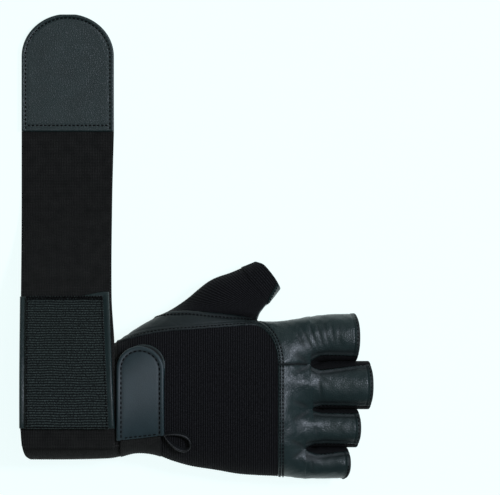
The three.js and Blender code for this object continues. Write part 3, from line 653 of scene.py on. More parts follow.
def lip_angles(lane, side, x):
    """The angles of a stall's two lips at x. A lip with a sway turns by it from the crotch to the
    mouth."""
    finger = FINGERS[lane]
    first, last = finger["back" if side > 0 else "palm"]
    share = soft_step(x, crotch_x(0, 1), KNUCKLE_X + finger["reach"] * STALL_REACH)
    sway = finger.get("sway", 0) * (1 - 2 * share) if side > 0 else 0 * share
    return np.radians(first + sway), np.radians(last + 0 * share)


def mouth_lips(lane, side):
    """The angles of a stall's two lips at its mouth."""
    return lip_angles(lane, side, KNUCKLE_X + FINGERS[lane]["reach"] * STALL_REACH)


def lane_edges(lane, side, x):
    """The angles of a lane's edges on the body: the side seams with the armhole's ellipse, or the
    crotches' lines."""
    share = np.clip((x - ARMHOLE_X) / (ARMHOLE_HALF + SEAM_GAP), -1, 1)
    hole = (ARMHOLE_BACK if side > 0 else ARMHOLE_PALM) * np.sqrt(1 - share**2)
    trim = SEAM_GAP / PALM_HEIGHT
    thumb_side = SIDE_SEAM + side * (np.radians(hole) + trim)
    little_side = ULNAR_SEAM - trim if side > 0 else ULNAR_SEAM - 2 * math.pi + trim
    before, after = slots_of(lane)
    first = angle_at(x, CROTCHES[before]["across"] * PALM_WIDTH, side) if has_slot(lane, 0) else thumb_side
    last = angle_at(x, CROTCHES[after]["across"] * PALM_WIDTH, side) if has_slot(lane, 1) else little_side
    return first, last


# How far from a slot's lip, as a share across a lane, the leather widens at once
LIP_SHARE = 0.13


def widened(lane, edge, side, x, across, inset):
    """How far a lane has widened at one of its edges: at once near the slot's lip, and by a slow step
    elsewhere. On a side that has no slot the palm's leather goes as the back's does, so that their seam
    stays closed."""
    side = side if has_slot(lane, edge) else 1
    past = x + inset - crotch_x(slots_of(lane)[edge], side)
    slowly = soft_step(past, -11, 14) if side > 0 else soft_step(past, -4, 12)
    near = ridge(across, edge, LIP_SHARE) if has_slot(lane, edge) else 0
    return mix(slowly, opened(past), near)


def loose_lane(lane, side, x, across, inset):
    """A strip of the body that turns into a stall's wall: it widens as its slots open, and deepens more
    slowly. It widens at once at its lips and slowly between them, and so does a side that has no slot."""
    finger = FINGERS[lane]
    lips = lip_angles(lane, side, x)
    first, last = lane_edges(lane, side, x)
    body = on_body(x, mix(first, last, across), inset)
    stall = on_finger(finger, x, mix(lips[0], lips[1], across), inset)
    before, after = [widened(lane, edge, side, x, across, inset) for edge in (0, 1)]
    y = mix(body[..., 1], stall[..., 1], mix(before, after, across))
    z = mix(body[..., 2], stall[..., 2], soft_step((x - KNUCKLE_X) / STALL_REACH, BLEND_START, BLEND_END))
    return np.stack(np.broadcast_arrays(x, y, z), -1)


def on_lane(lane, side, x, across, inset):
    """A point of the leather over one finger: the loose strip, with its edges drawn to its neighbours'
    before the crotches, each by half of what is between them."""
    x, across, inset = np.broadcast_arrays(x, across, inset)
    shifts = []
    for edge in (0, 1):
        if not has_slot(lane, edge):
            shifts.append(np.zeros(x.shape + (3,)))
            continue
        own = loose_lane(lane, side, x, edge, inset)
        other = loose_lane(lane + 2 * edge - 1, side, x, 1 - edge, inset)
        closed = 1 - widened(lane, edge, side, x, across, inset)
        shifts.append((other - own) * closed[..., None] / 2)
    return loose_lane(lane, side, x, across, inset) + mix(shifts[0], shifts[1], across[..., None])


# The share of a lane's rows that lie before the crotches' line, and the power by which the steps grow
# past it
KNUCKLE_SHARE = 0.4
ROW_GROWTH = 1.6


def lane_place(lane, side, u, v, inset, open_edges):
    """The place along and across a lane: rows run straight from the knuckle seam to the crotches' line,
    and on to the mouth with steps that grow. Its own seams take half a gap, and joined edges part at the
    crotch."""
    finger = FINGERS[lane]
    lips = mouth_lips(lane, side)
    seam = SEAM_GAP / 2 / (finger["width"] * FINGER_WIDTH)
    past = np.maximum(0, (u - KNUCKLE_SHARE) / (1 - KNUCKLE_SHARE))
    trims = [np.where((past > 0) | is_open, seam, 0) for is_open in open_edges]
    across = mix(trims[0], 1 - trims[1], v)
    ends = [crotch_x(slot, side) - inset - SEAM_GAP / 2 for slot in slots_of(lane)]
    crotch = mix(ends[0], ends[1], v)
    mouth = mouth_x(finger, mix(lips[0], lips[1], across))
    start = KNUCKLE_X + SEAM_GAP / 2
    x = np.where(past > 0, mix(crotch, mouth, past**ROW_GROWTH), mix(start, crotch, u / KNUCKLE_SHARE))
    return x, across


def run_along(points, axis):
    """The length run along a grid's rows (axis 0) or columns (axis 1), in millimetres."""
    steps = np.linalg.norm(np.diff(points, axis=axis), axis=-1)
    return np.cumsum(np.pad(steps, ((1, 0), (0, 0)) if axis == 0 else ((0, 0), (1, 0))), axis=axis)


def soft_noise(points, size, seed):
    """Smooth uneven relief from about -1 to 1: twelve sine waves of about one size in seeded directions,
    summed."""
    random = np.random.default_rng(seed)
    total = np.zeros(points.shape[:-1])
    for _ in range(12):
        direction = random.normal(size=3)
        direction *= 2 * math.pi / (size * random.uniform(0.7, 1.5) * np.linalg.norm(direction))
        total += np.sin(points @ direction + random.uniform(0, 2 * math.pi))
    return total / 5


HEM_WIDTH = 2.7
HEM_RISE = 0.3
# A distance at which an edge has no more effect
BEYOND = 99.0
# Creases that wear has set in the leather: both ends in X and Y, half-width and depth
CREASES = [
    {"from": (52, 36), "to": (57, 27), "width": 0.9, "depth": 0.35},
    {"from": (55, 39), "to": (61, 26), "width": 0.8, "depth": 0.3},
    {"from": (59, 41), "to": (64, 27), "width": 0.7, "depth": 0.28},
    {"from": (63, 42), "to": (67, 28), "width": 0.7, "depth": 0.25},
    {"from": (67, 42), "to": (70, 29), "width": 0.7, "depth": 0.22},
    {"from": (71, 42), "to": (73, 30), "width": 0.7, "depth": 0.2},
    {"from": (75, 42), "to": (76, 30), "width": 0.7, "depth": 0.18},
    {"from": (59, 19), "to": (51, 25), "width": 1.3, "depth": 0.5},
    {"from": (60, 18), "to": (50, 14), "width": 1.4, "depth": 0.45},
    {"from": (59, -5), "to": (50, -1), "width": 1.3, "depth": 0.5},
    {"from": (59, -7), "to": (50, -12), "width": 1.3, "depth": 0.5},
    {"from": (57, -27), "to": (49, -23), "width": 1.2, "depth": 0.5},
    {"from": (57, -28), "to": (50, -33), "width": 1.2, "depth": 0.45},
    {"from": (62, 15), "to": (70, 8), "width": 0.9, "depth": 0.25},
    {"from": (64, 12), "to": (66, 0), "width": 0.8, "depth": 0.2},
    {"from": (62, -14), "to": (64, -22), "width": 0.8, "depth": 0.2},
    {"from": (60, -33), "to": (62, -42), "width": 0.8, "depth": 0.2},
]
# Where the leather is moulded up past the knuckle seam: place in X and Y, radius and height
KNUCKLES = [
    {"place": (56, 25), "radius": 6, "height": 0.75},
    {"place": (58, 9), "radius": 5, "height": 0.8},
    {"place": (62, -12), "radius": 5, "height": 1.3},
    {"place": (59, -32), "radius": 5, "height": 1.2},
]


def swollen(points):
    """The moulded swellings: a round bell over each as seen from above."""
    relief = np.zeros(points.shape[:-1])
    for row in KNUCKLES:
        away = np.hypot(points[..., 0] - row["place"][0], points[..., 1] - row["place"][1])
        relief += row["height"] * ridge(away, 0, row["radius"])
    return relief


def creased(points):
    """The creases' depth: a bell across each line as seen from above, fading over its length."""
    relief = np.zeros(points.shape[:-1])
    for row in CREASES:
        start, end = np.array(row["from"], float), np.array(row["to"], float)
        length = np.linalg.norm(end - start)
        ahead = (end - start) / length
        away = points[..., :2] - start
        along, aside = away @ ahead, away @ np.array([-ahead[1], ahead[0]])
        fade = np.exp(-(((along / length - 0.5) / 0.45) ** 4))
        relief -= row["depth"] * fade * ridge(aside, 0, row["width"])
    return relief


def leather_relief(points, from_mouth, from_lips, from_seam):
    """The moulded leather: soft unevenness and creases, a raised hem at the mouth that its stitches press
    in, a rolled lip along the slots, and a rolled edge along a seam, each with the groove of its
    stitches."""
    relief = 0.25 * soft_noise(points, 15, 3) + 0.1 * soft_noise(points, 5, 4)
    relief = relief + 0.03 * soft_noise(points, 2, 5)
    relief = relief + creased(points) + swollen(points)
    relief = relief + HEM_RISE * (1 - soft_step(from_mouth, HEM_WIDTH - 0.3, HEM_WIDTH + 0.5))
    relief = relief - 0.25 * ridge(from_mouth, HEM_WIDTH, 0.5)
    relief = relief + 0.35 * ridge(from_lips, 1.1, 0.8) - 0.25 * ridge(from_lips, 2.6, 0.6)
    relief = relief + 0.6 * ridge(from_seam, 0.4, 0.6)
    relief = relief - 0.22 * (ridge(from_seam, 1.1, 0.35) + ridge(from_seam, 2.75, 0.35))
    relief = relief + 0.12 * ridge(from_seam, 1.9, 0.4)
    relief = relief - rounded_edge(from_mouth, 0.7) - rounded_edge(from_lips, 0.6)
    return relief - rounded_edge(from_seam, 0.5)


GRAIN_SIZE = 1.2
# How much rougher the leather is where its tone is lightest
ROUGHNESS_RANGE = 0.11
# The colour drawn in for painted shade in the leather's hollows and grooves, and for its dark rims, seam line
# and fastener pad
SHADE_AND_DARK_COLOUR = "#080c0d"


def painted_shade_and_dark_of(points, from_mouth, from_lips, from_seam):
    """Where the leather is drawn darker: a dark rim at the mouth's hem, and painted shade inside the lips,
    in the stitches' grooves and in the creases. The strongest of them counts."""
    shares = [
        0.95 * ridge(from_mouth, 0.2, 1.1),
        0.6 * ridge(from_lips, 2.6, 2.2),
        0.5 * ridge(from_seam, 1.1, 0.5),
        0.5 * ridge(from_seam, 2.75, 0.5),
        np.clip(-creased(points), 0, 0.6),
    ]
    return np.max(np.stack(np.broadcast_arrays(*shares)), axis=0)


def new_nappa(name, dark, light, grain_height=0.08, roughness=0.32):
    """Full-grain leather, dyed through and lightly polished: its tone wanders between two colours and its
    gloss with it, and a pebbled grain of small cells of a height in millimetres breaks it. The cells are
    drawn a little coarser than real, to show. Where the piece says so it is drawn darker and duller: painted
    shade in its hollows and grooves, and dark rims and pads of its own."""
    paint, tree, shader = new_material(name)
    shader.inputs["Specular IOR Level"].default_value = 0.5
    place = add_node(tree, "ShaderNodeTexCoord").outputs["Object"]
    grain = add_node(
        tree, "ShaderNodeTexVoronoi", {"feature": "DISTANCE_TO_EDGE"}, Vector=place, Scale=1000 / GRAIN_SIZE
    )
    patches = add_node(tree, "ShaderNodeTexNoise", None, Vector=place, Scale=110, Detail=5, Roughness=0.6)
    colour = blend(tree, patches.outputs[0], linear(dark), linear(light))
    # The attribute draws painted shade, and the piece's dark rims and pads, in the dark colour
    painted_shade_and_dark = add_node(tree, "ShaderNodeAttribute", {"attribute_name": "painted_shade_and_dark"})
    shaded_and_dark = blend(tree, painted_shade_and_dark.outputs["Fac"], colour, linear(SHADE_AND_DARK_COLOUR))
    tree.links.new(shaded_and_dark, shader.inputs["Base Color"])
    polish = add_node(tree, "ShaderNodeMapRange", None, Value=patches.outputs[0])
    polish.inputs["To Min"].default_value = roughness
    polish.inputs["To Max"].default_value = roughness + ROUGHNESS_RANGE
    matt = add_node(
        tree,
        "ShaderNodeMath",
        {"operation": "MULTIPLY_ADD"},
        _0=painted_shade_and_dark.outputs["Fac"],
        _1=0.4,
        _2=polish.outputs[0],
    )
    tree.links.new(matt.outputs[0], shader.inputs["Roughness"])
    pores = add_node(tree, "ShaderNodeMapRange", None, Value=grain.outputs[0], From_Max=0.14)
    set_bump(tree, shader, pores.outputs[0], 0.5, grain_height)
    return paint


# Black nappa with a green-grey cast under the light
nappa_paint = new_nappa("polished_nappa_leather", "#122223", "#1f3333")

# Bonded polyester thread: black, twisted from three plies, with the small sheen of its wax
thread_paint, thread_tree, thread_shader = new_material("bonded_polyester_thread")
thread_shader.inputs["Roughness"].default_value = 0.7
thread_shader.inputs["Specular IOR Level"].default_value = 0.15
PLY_PITCH = 0.6
thread_ply = bands(thread_tree, surface_place(thread_tree), "DIAGONAL", PLY_PITCH)
thread_colour = blend(thread_tree, thread_ply, linear("#020203"), linear("#08090a"))
thread_tree.links.new(thread_colour, thread_shader.inputs["Base Color"])

THREAD_SIDES = 6
# The rings along a stitch: share of its length, share of its thickness, and rise over the leather in
# thicknesses
STITCH_RINGS = np.array(
    [
        [-0.5, 0.3, -0.55],
        [-0.4, 0.8, -0.05],
        [0, 1, 0.15],
        [0.4, 0.8, -0.05],
        [0.5, 0.3, -0.55],
    ]
)


def stitch_row(low, high, pitch, length, thickness=0.8):
    """Stitches along a line of points, given on the surface and 1 mm over it, as points and faces. Each
    is a short rounded rod that rises out of the leather, lies on it and goes in again."""
    run = np.concatenate([[0], np.cumsum(np.linalg.norm(np.diff(low, axis=0), axis=1))])
    count = max(1, int(round(run[-1] / pitch)))
    centres = (np.arange(count) + 0.5) * run[-1] / count
    reach = centres[:, None] + STITCH_RINGS[:, 0] * length

    def read(values, at):
        return np.stack([np.interp(at, run, values[:, axis]) for axis in range(3)], -1)

    ahead = read(low, reach + 0.1) - read(low, reach - 0.1)
    ahead /= np.linalg.norm(ahead, axis=-1, keepdims=True) + 1e-9
    normal = read(high, reach) - read(low, reach)
    normal /= np.linalg.norm(normal, axis=-1, keepdims=True) + 1e-9
    aside = np.cross(ahead, normal)
    turn = np.arange(THREAD_SIDES) * 2 * math.pi / THREAD_SIDES
    middle = read(low, reach) + normal * (STITCH_RINGS[:, 2] * thickness)[:, None]
    ring = aside[:, :, None] * np.cos(turn)[:, None] + normal[:, :, None] * np.sin(turn)[:, None]
    points = middle[:, :, None] + ring * (STITCH_RINGS[:, 1] * thickness / 2)[:, None, None]
    corner = np.arange(len(STITCH_RINGS) * THREAD_SIDES).reshape(len(STITCH_RINGS), THREAD_SIDES)
    after = np.roll(corner, -1, 1)
    quads = np.stack([corner[:-1], corner[1:], after[1:], after[:-1]], -1).reshape(-1, 4)
    near_cap = [corner[0][[0, 1, 2, 3]], corner[0][[0, 3, 4, 5]]]
    far_cap = [corner[-1][[3, 2, 1, 0]], corner[-1][[5, 4, 3, 0]]]
    quads = np.concatenate([quads, near_cap, far_cap])
    faces = (quads[None] + (np.arange(count) * corner.size)[:, None, None]).reshape(-1, 4)
    places = np.stack(
        [
            np.broadcast_to(reach[:, :, None], points.shape[:3]),
            np.broadcast_to(turn * thickness / 2, points.shape[:3]),
        ],
        -1,
    )
    return points.reshape(-1, 3), faces, places.reshape(-1, 2)


def sew(name, rows):
    """All the stitches of a piece as one mesh."""
    starts = np.cumsum([0] + [len(row[0]) for row in rows[:-1]])
    points = np.concatenate([row[0] for row in rows])
    faces = np.concatenate([row[1] + start for row, start in zip(rows, starts)])
    places = np.concatenate([row[2] for row in rows])
    return new_piece(name, points, faces, places[faces], thread_paint)


finger_rows = np.concatenate(
    [
        KNUCKLE_SHARE * crowded(34, 17)[:-1],
        KNUCKLE_SHARE + (1 - KNUCKLE_SHARE) * np.linspace(0, 0.92, 52),
        KNUCKLE_SHARE + (1 - KNUCKLE_SHARE) * np.linspace(0.926, 1, 14),
    ]
)
finger_columns = crowded(36, 26)


def lane_distances(lane, side, x, across, flat):
    """How far each point of a lane is from the stall's mouth and from its nearest lip, in millimetres.
    Before a crotch the lips are beyond reach."""
    finger = FINGERS[lane]
    lips = mouth_lips(lane, side)
    from_mouth = mouth_x(finger, mix(lips[0], lips[1], across)) - x
    run = run_along(flat, 1)
    crotches = [crotch_x(slot, side) for slot in slots_of(lane)]
    before, after = [soft_step(x, crotch - 1.5, crotch + 0.5) for crotch in crotches]
    from_first = mix(BEYOND, run, before) if has_slot(lane, 0) else np.full(x.shape, BEYOND)
    from_last = mix(BEYOND, run[:, -1:] - run, after) if has_slot(lane, 1) else np.full(x.shape, BEYOND)
    return from_mouth, np.minimum(from_first, from_last)


def from_join(points):
    """The distance from the plain seam between the two leathers, which runs from the knuckle seam to the
    crotch."""
    past = soft_step(points[..., 0], crotch_x(0, 1) - 2, crotch_x(0, 1))
    return mix(np.abs(points[..., 1] - CROTCHES[0]["across"] * PALM_WIDTH), BEYOND, past)


def finger_patch(lane, open_edges, relief_of):
    """One finger's strip of leather: its outer grid with its relief, its inner grid, its map and how far
    it is drawn darker, by painted shade and by its dark rim and seam line."""
    u, v = finger_rows[:, None], finger_columns[None, :]
    x, across = lane_place(lane, 1, u, v, 0, open_edges)
    flat = on_lane(lane, 1, x, across, 0)
    outer = on_lane(lane, 1, x, across, -relief_of(lane, x, across, flat))
    inner = on_lane(lane, 1, *lane_place(lane, 1, u, v, LEATHER_THICKNESS, open_edges), LEATHER_THICKNESS)
    # Painted shade in the hollows, grooves and creases, a dark rim at the mouth and a dark seam line
    painted_shade_and_dark = painted_shade_and_dark_of(flat, *lane_distances(lane, 1, x, across, flat), x - KNUCKLE_X - SEAM_GAP / 2)
    painted_shade_and_dark = np.maximum(painted_shade_and_dark, 0.95 * ridge(from_join(flat), 0, 0.7))
    return outer, inner, on_map(outer, x, across * FINGERS[lane]["width"] * FINGER_WIDTH * 1.5), painted_shade_and_dark


def seam_relief(lane, x, across, flat):
    """The relief of the leather that starts at the knuckle seam."""
    from_mouth, from_lips = lane_distances(lane, 1, x, across, flat)
    relief = leather_relief(flat, from_mouth, from_lips, x - KNUCKLE_X - SEAM_GAP / 2)
    return relief - 0.6 * ridge(from_join(flat), 0, 0.6)


wall(
    "fingers_panel",
    "leather_over_three_fingers",
    [
        finger_patch(1, (True, False), seam_relief),
        finger_patch(2, (False, False), seam_relief),
        finger_patch(3, (False, True), seam_relief),
    ],
    nappa_paint,
)


def lane_line(lane, side, x_of, shares):
    """A line of points over a lane, on the leather and 1 mm above it: its x is a function of the share
    across."""
    x = x_of(shares)
    return on_lane(lane, side, x, shares, -0.05), on_lane(lane, side, x, shares, -1.05)


STITCH_PITCH = 2.1
STITCH_LENGTH = 1.5
SEAM_ROWS = (1.1, 2.75)
LIP_ROW = 1.0
HEM_ROW = 1.3
shares = np.linspace(0, 1, 60)


def hem_stitches(lane, side=1):
    """The row that holds a stall's hem."""
    lips = mouth_lips(lane, side)

    def hem_x(v):
        return mouth_x(FINGERS[lane], mix(lips[0], lips[1], v)) - HEM_ROW

    low, high = lane_line(lane, side, hem_x, mix(0.02, 0.98, shares))
    return stitch_row(low, high, STITCH_PITCH, STITCH_LENGTH)


def lip_stitches(lane, edge):
    """The row along a slot's lip, from the crotch to the mouth."""
    finger = FINGERS[lane]
    away = LIP_ROW / (finger["width"] * FINGER_WIDTH * 1.3)
    across = np.full(60, away if edge == 0 else 1 - away)
    mouth = mouth_x(finger, mouth_lips(lane, 1)[edge]) - HEM_WIDTH - 0.5
    x = mix(crotch_x(slots_of(lane)[edge], 1) + 1.5, mouth, shares)
    low, high = [on_lane(lane, 1, x, across, inset) for inset in (-0.1, -1.1)]
    return stitch_row(low, high, STITCH_PITCH, STITCH_LENGTH)


def seam_stitches(place):
    """A row along the knuckle seam over the three fingers."""
    row_x = np.full(shares[:-1].shape, KNUCKLE_X + SEAM_GAP / 2 + place)
    lines = [lane_line(lane, 1, lambda v: row_x, shares[:-1]) for lane in (1, 2, 3)]
    low, high = [np.concatenate([line[side] for line in lines]) for side in (0, 1)]
    return stitch_row(low[1:-1], high[1:-1], STITCH_PITCH, STITCH_LENGTH)


sew(
    "three_finger_stitches",
    [hem_stitches(lane) for lane in (1, 2, 3)]
    + [lip_stitches(lane, edge) for lane, edge in ((1, 0), (1, 1), (2, 0), (2, 1), (3, 0))]
    + [seam_stitches(place) for place in SEAM_ROWS],
)

# The index panel
# The same nappa over the index finger. It runs on as a strip between the knit back and the thumb, down to
# the cuff, with a rolled and twice stitched edge over the knit.

ARMHOLE_ROWS = 14
rear_x, front_x = ARMHOLE_X - ARMHOLE_HALF - SEAM_GAP, ARMHOLE_X + ARMHOLE_HALF + SEAM_GAP
# Places along the glove from the cuff over the armhole, where they crowd towards its ends, to the knuckle
# seam
stations = np.concatenate(
    [
        mix(CUFF_X + SEAM_GAP / 2, rear_x, np.arange(3) / 3),
        mix(rear_x, front_x, (1 - np.cos(np.arange(ARMHOLE_ROWS) / ARMHOLE_ROWS * math.pi)) / 2),
        mix(front_x, KNUCKLE_X + SEAM_GAP / 2, np.arange(5) / 4),
    ]
)


def station_at(u):
    """The place at a share of the stations."""
    return np.interp(u, np.linspace(0, 1, len(stations)), stations)


# The strip runs on a little way under the wrap, at shares of less than nothing
STRIP_TUCK, TUCK_SHARE = 3, 0.05
STRIP_ROW = 3.6


def on_strip(u, v, inset):
    """The strip from the armhole's edge (v 0) to the knit's border (v 1), over the stations and the
    tuck."""
    x = station_at(u) + STRIP_TUCK * np.minimum(u, 0) / TUCK_SHARE
    first = (x - CUFF_X) / (edge_x[-1] - CUFF_X)
    second = (x - edge_x[-1]) / (KNUCKLE_X + SEAM_GAP / 2 - edge_x[-1])
    inner_x, inner_y = knit_edge(np.where(second > 0, (1 + second) / 2, first / 2), SEAM_GAP / 2)
    angle = mix(lane_edges(0, 1, x)[0], angle_at(inner_x, inner_y), v)
    return on_body(mix(x, inner_x, v) + (cuff_x(angle) - CUFF_X) * (1 - u), angle, inset)


# The rolled edge over the knit: its border with the knit, round the corner and along the first knuckle
# seam, as points seen from above
border_x, border_y = knit_edge(np.linspace(0, 1, 260), SEAM_GAP / 2)


def from_border(points):
    """The distance from each point to the nearest place of the rolled border, as seen from above."""
    away = np.hypot(points[..., 0, None] - border_x, points[..., 1, None] - border_y)
    return away.min(-1)


strip_u = np.concatenate(
    [
        np.linspace(-TUCK_SHARE, -0.005, 8),
        np.linspace(0, 0.94, 150),
        np.linspace(0.944, 0.998, 24),
    ]
)[:, None]
index_v = crowded(44, 26)[None, :]
strip_flat = on_strip(strip_u, index_v, 0)
lane_x, lane_across = lane_place(0, 1, finger_rows[:, None], index_v, 0, (True, True))
lane_flat = on_lane(0, 1, lane_x, lane_across, 0)
strip_run = run_along(strip_flat, 1)
far = BEYOND + 0 * strip_run
strip_relief = leather_relief(strip_flat, far, far, from_border(strip_flat))
strip_relief = strip_relief + 0.35 * ridge(strip_run, 1.4, 1.0) - 0.25 * ridge(strip_run, STRIP_ROW, 0.5)
strip_relief = strip_relief - rounded_edge(strip_run, 0.5)
index_mouth, index_lips = lane_distances(0, 1, lane_x, lane_across, lane_flat)
index_relief = leather_relief(lane_flat, index_mouth, index_lips, from_border(lane_flat))
index_relief = index_relief - 0.6 * ridge(from_join(lane_flat), 0, 0.6)
outer_rows = [on_strip(strip_u, index_v, -strip_relief), on_lane(0, 1, lane_x, lane_across, -index_relief)]
index_outer = np.concatenate(outer_rows)
inner_place = lane_place(0, 1, finger_rows[:, None], index_v, LEATHER_THICKNESS, (True, True))
inner_rows = [on_strip(strip_u, index_v, LEATHER_THICKNESS), on_lane(0, 1, *inner_place, LEATHER_THICKNESS)]
index_map = on_map(index_outer, np.concatenate([strip_flat[..., 0], lane_x]), index_v * 26)
# Painted shade on the strip: in the stitches' groove, and darker towards the cuff and over its length behind
# the knuckles
strip_painted_shade = painted_shade_and_dark_of(strip_flat, far, far, from_border(strip_flat))
strip_painted_shade = np.maximum(strip_painted_shade, 0.5 * ridge(strip_run, STRIP_ROW, 0.6))
strip_painted_shade = np.maximum(strip_painted_shade, 0.8 * (1 - soft_step(strip_flat[..., 0], CUFF_X, CUFF_X + 22)))
strip_painted_shade = np.maximum(strip_painted_shade, 0.6 * (1 - soft_step(strip_flat[..., 0], 25, 40)))
# Painted shade and a dark rim and seam line over the index stall, as on the other stalls
lane_painted_shade_and_dark = painted_shade_and_dark_of(lane_flat, index_mouth, index_lips, from_border(lane_flat))
lane_painted_shade_and_dark = np.maximum(lane_painted_shade_and_dark, 0.95 * ridge(from_join(lane_flat), 0, 0.7))
index_painted_shade_and_dark = np.concatenate([strip_painted_shade, lane_painted_shade_and_dark])
wall(
    "index_panel",
    "index_leather",
    [(index_outer, np.concatenate(inner_rows), index_map, index_painted_shade_and_dark)],
    nappa_paint,
)


def border_stitches(inset, start):
    """A row beside the rolled border, at an inset square to it, from a place along the glove. It is laid
    on the leather: its height is the mean of the four nearest points there, each counted by the inverse
    of its distance."""
    ahead = np.stack([np.gradient(border_x), np.gradient(border_y)], -1)
    ahead /= np.linalg.norm(ahead, axis=-1, keepdims=True)
    # The leather lies to the left of the line, which runs from the cuff to the stalls
    line = np.stack([border_x - inset * ahead[:, 1], border_y + inset * ahead[:, 0]], -1)
    line = line[(from_border(line) > inset - 0.05) & (line[:, 0] > start)]
    leather = index_outer.reshape(-1, 3)
    away = np.hypot(*(line[:, None, :] - leather[None, :, :2]).transpose(2, 0, 1))
    near_enough = away.min(1) < 0.7
    line, away = line[near_enough], away[near_enough]
    near = np.argpartition(away, 4, axis=1)[:, :4]
    weight = 1 / (np.take_along_axis(away, near, 1) + 0.05)
    height = (leather[near, 2] * weight).sum(1) / weight.sum(1)
    low = np.concatenate([line, height[:, None] + 0.08], -1)
    return stitch_row(low, low + (0, 0, 1), STITCH_PITCH, STITCH_LENGTH)


open_strip = strip_u[:, 0] > 0.04
outer_inset = (STRIP_ROW / strip_run[:, -1:])[open_strip]
outer_line = [on_strip(strip_u[open_strip], outer_inset, -0.1 - lift)[:, 0] for lift in (0, 1)]
# The strip has one row beside the knit, and the second starts at the corner
ROW_STARTS = (CUFF_X + 3, edge_x[-1] - 4)
sew(
    "index_stitches",
    [border_stitches(inset, start) for inset, start in zip(SEAM_ROWS, ROW_STARTS)]
    + [stitch_row(*outer_line, STITCH_PITCH, STITCH_LENGTH), hem_stitches(0), lip_stitches(0, 1)],
)

# The palm
# One piece of thicker palm leather from the cuff to the palm side of the four stalls, napped so that it
# grips. It lies on the floor, and its seams with the back leather run along the glove's sides.

PALM_THICKNESS = 2

# Napped cowhide: matt, a little greyer than the nappa, with short uneven fibre
palm_paint, palm_tree, palm_shader = new_material("napped_palm_leather")
palm_shader.inputs["Roughness"].default_value = 0.8
palm_shader.inputs["Specular IOR Level"].default_value = 0.25
palm_shader.inputs["Sheen Weight"].default_value = 0.1
NAP_SIZE = 0.8
palm_rows = np.linspace(0, 1, 44)
palm_place = add_node(palm_tree, "ShaderNodeTexCoord").outputs["Object"]
palm_nap = add_node(palm_tree, "ShaderNodeTexNoise", None, Vector=palm_place, Scale=1000 / NAP_SIZE, Detail=3)
palm_patches = add_node(palm_tree, "ShaderNodeTexNoise", None, Vector=palm_place, Scale=90, Detail=4)
palm_colour = blend(palm_tree, palm_patches.outputs[0], linear("#1c2123"), linear("#2b3235"))
palm_tree.links.new(palm_colour, palm_shader.inputs["Base Color"])
set_bump(palm_tree, palm_shader, palm_nap.outputs[0], 0.5, 0.15)


def palm_patch(lane, open_edges):
    """One finger's strip of the palm: over the stations from the cuff to the knuckle seam, and on to the
    mouth."""
    station_u = np.linspace(0, 1, 80)[:, None]
    lane_v = crowded(18, 26)[None, :]
    seam = SEAM_GAP / 2 / (FINGERS[lane]["width"] * FINGER_WIDTH)
    across = mix(seam if open_edges[0] else 0, 1 - seam if open_edges[1] else 1, lane_v)
    place = station_at(station_u)
    first, last = lane_edges(lane, -1, place)
    angle = mix(first, last, across)
    x = place + (cuff_x(angle) - CUFF_X) * (1 - station_u)
    u = palm_rows[1:, None]
    far_x, far_across = lane_place(lane, -1, u, lane_v, 0, open_edges)
    in_x, in_across = lane_place(lane, -1, u, lane_v, PALM_THICKNESS, open_edges)
    edge = rounded_edge(mouth_x(FINGERS[lane], math.radians(-90)) - far_x, 0.7)
    outer = np.concatenate([on_body(x, angle, 0), on_lane(lane, -1, far_x, far_across, edge)])
    stall_inner = on_lane(lane, -1, in_x, in_across, PALM_THICKNESS)
    inner = np.concatenate([on_body(x, angle, PALM_THICKNESS), stall_inner])
    return outer, inner, on_map(outer, outer[..., 0], outer[..., 1])


wall(
    "palm_panel",
    "napped_palm",
    [
        palm_patch(0, (True, False)),
        palm_patch(1, (False, False)),
        palm_patch(2, (False, False)),
        palm_patch(3, (False, True)),
    ],
    palm_paint,
)

# The gussets
# Strips of stretch fabric that join two neighbouring stalls: each runs from one mouth back to the crotch,
# turns there and runs out to the next. Their edges are sewn under the leather's lips.

GUSSET_THICKNESS = 1.1
LIP_TRIM = SEAM_GAP / FINGER_HEIGHT
# How far each gusset swells into its slot, which it closes to the eye
GUSSET_BULGE = (0.75, 0.7, 1.0)

# Stretch jersey: matt black, with fine wales
gusset_paint, gusset_tree, gusset_shader = new_material("stretch_jersey")
gusset_shader.inputs["Roughness"].default_value = 0.9
gusset_shader.inputs["Specular IOR Level"].default_value = 0.2
WALE_PITCH = 0.7
gusset_wale = bands(gusset_tree, surface_place(gusset_tree), "Y", WALE_PITCH, Distortion=0.8)
gusset_colour = blend(gusset_tree, gusset_wale, linear("#070708"), linear("#131416"))
gusset_tree.links.new(gusset_colour, gusset_shader.inputs["Base Color"])
set_bump(gusset_tree, gusset_shader, gusset_wale, 0.5, 0.1)


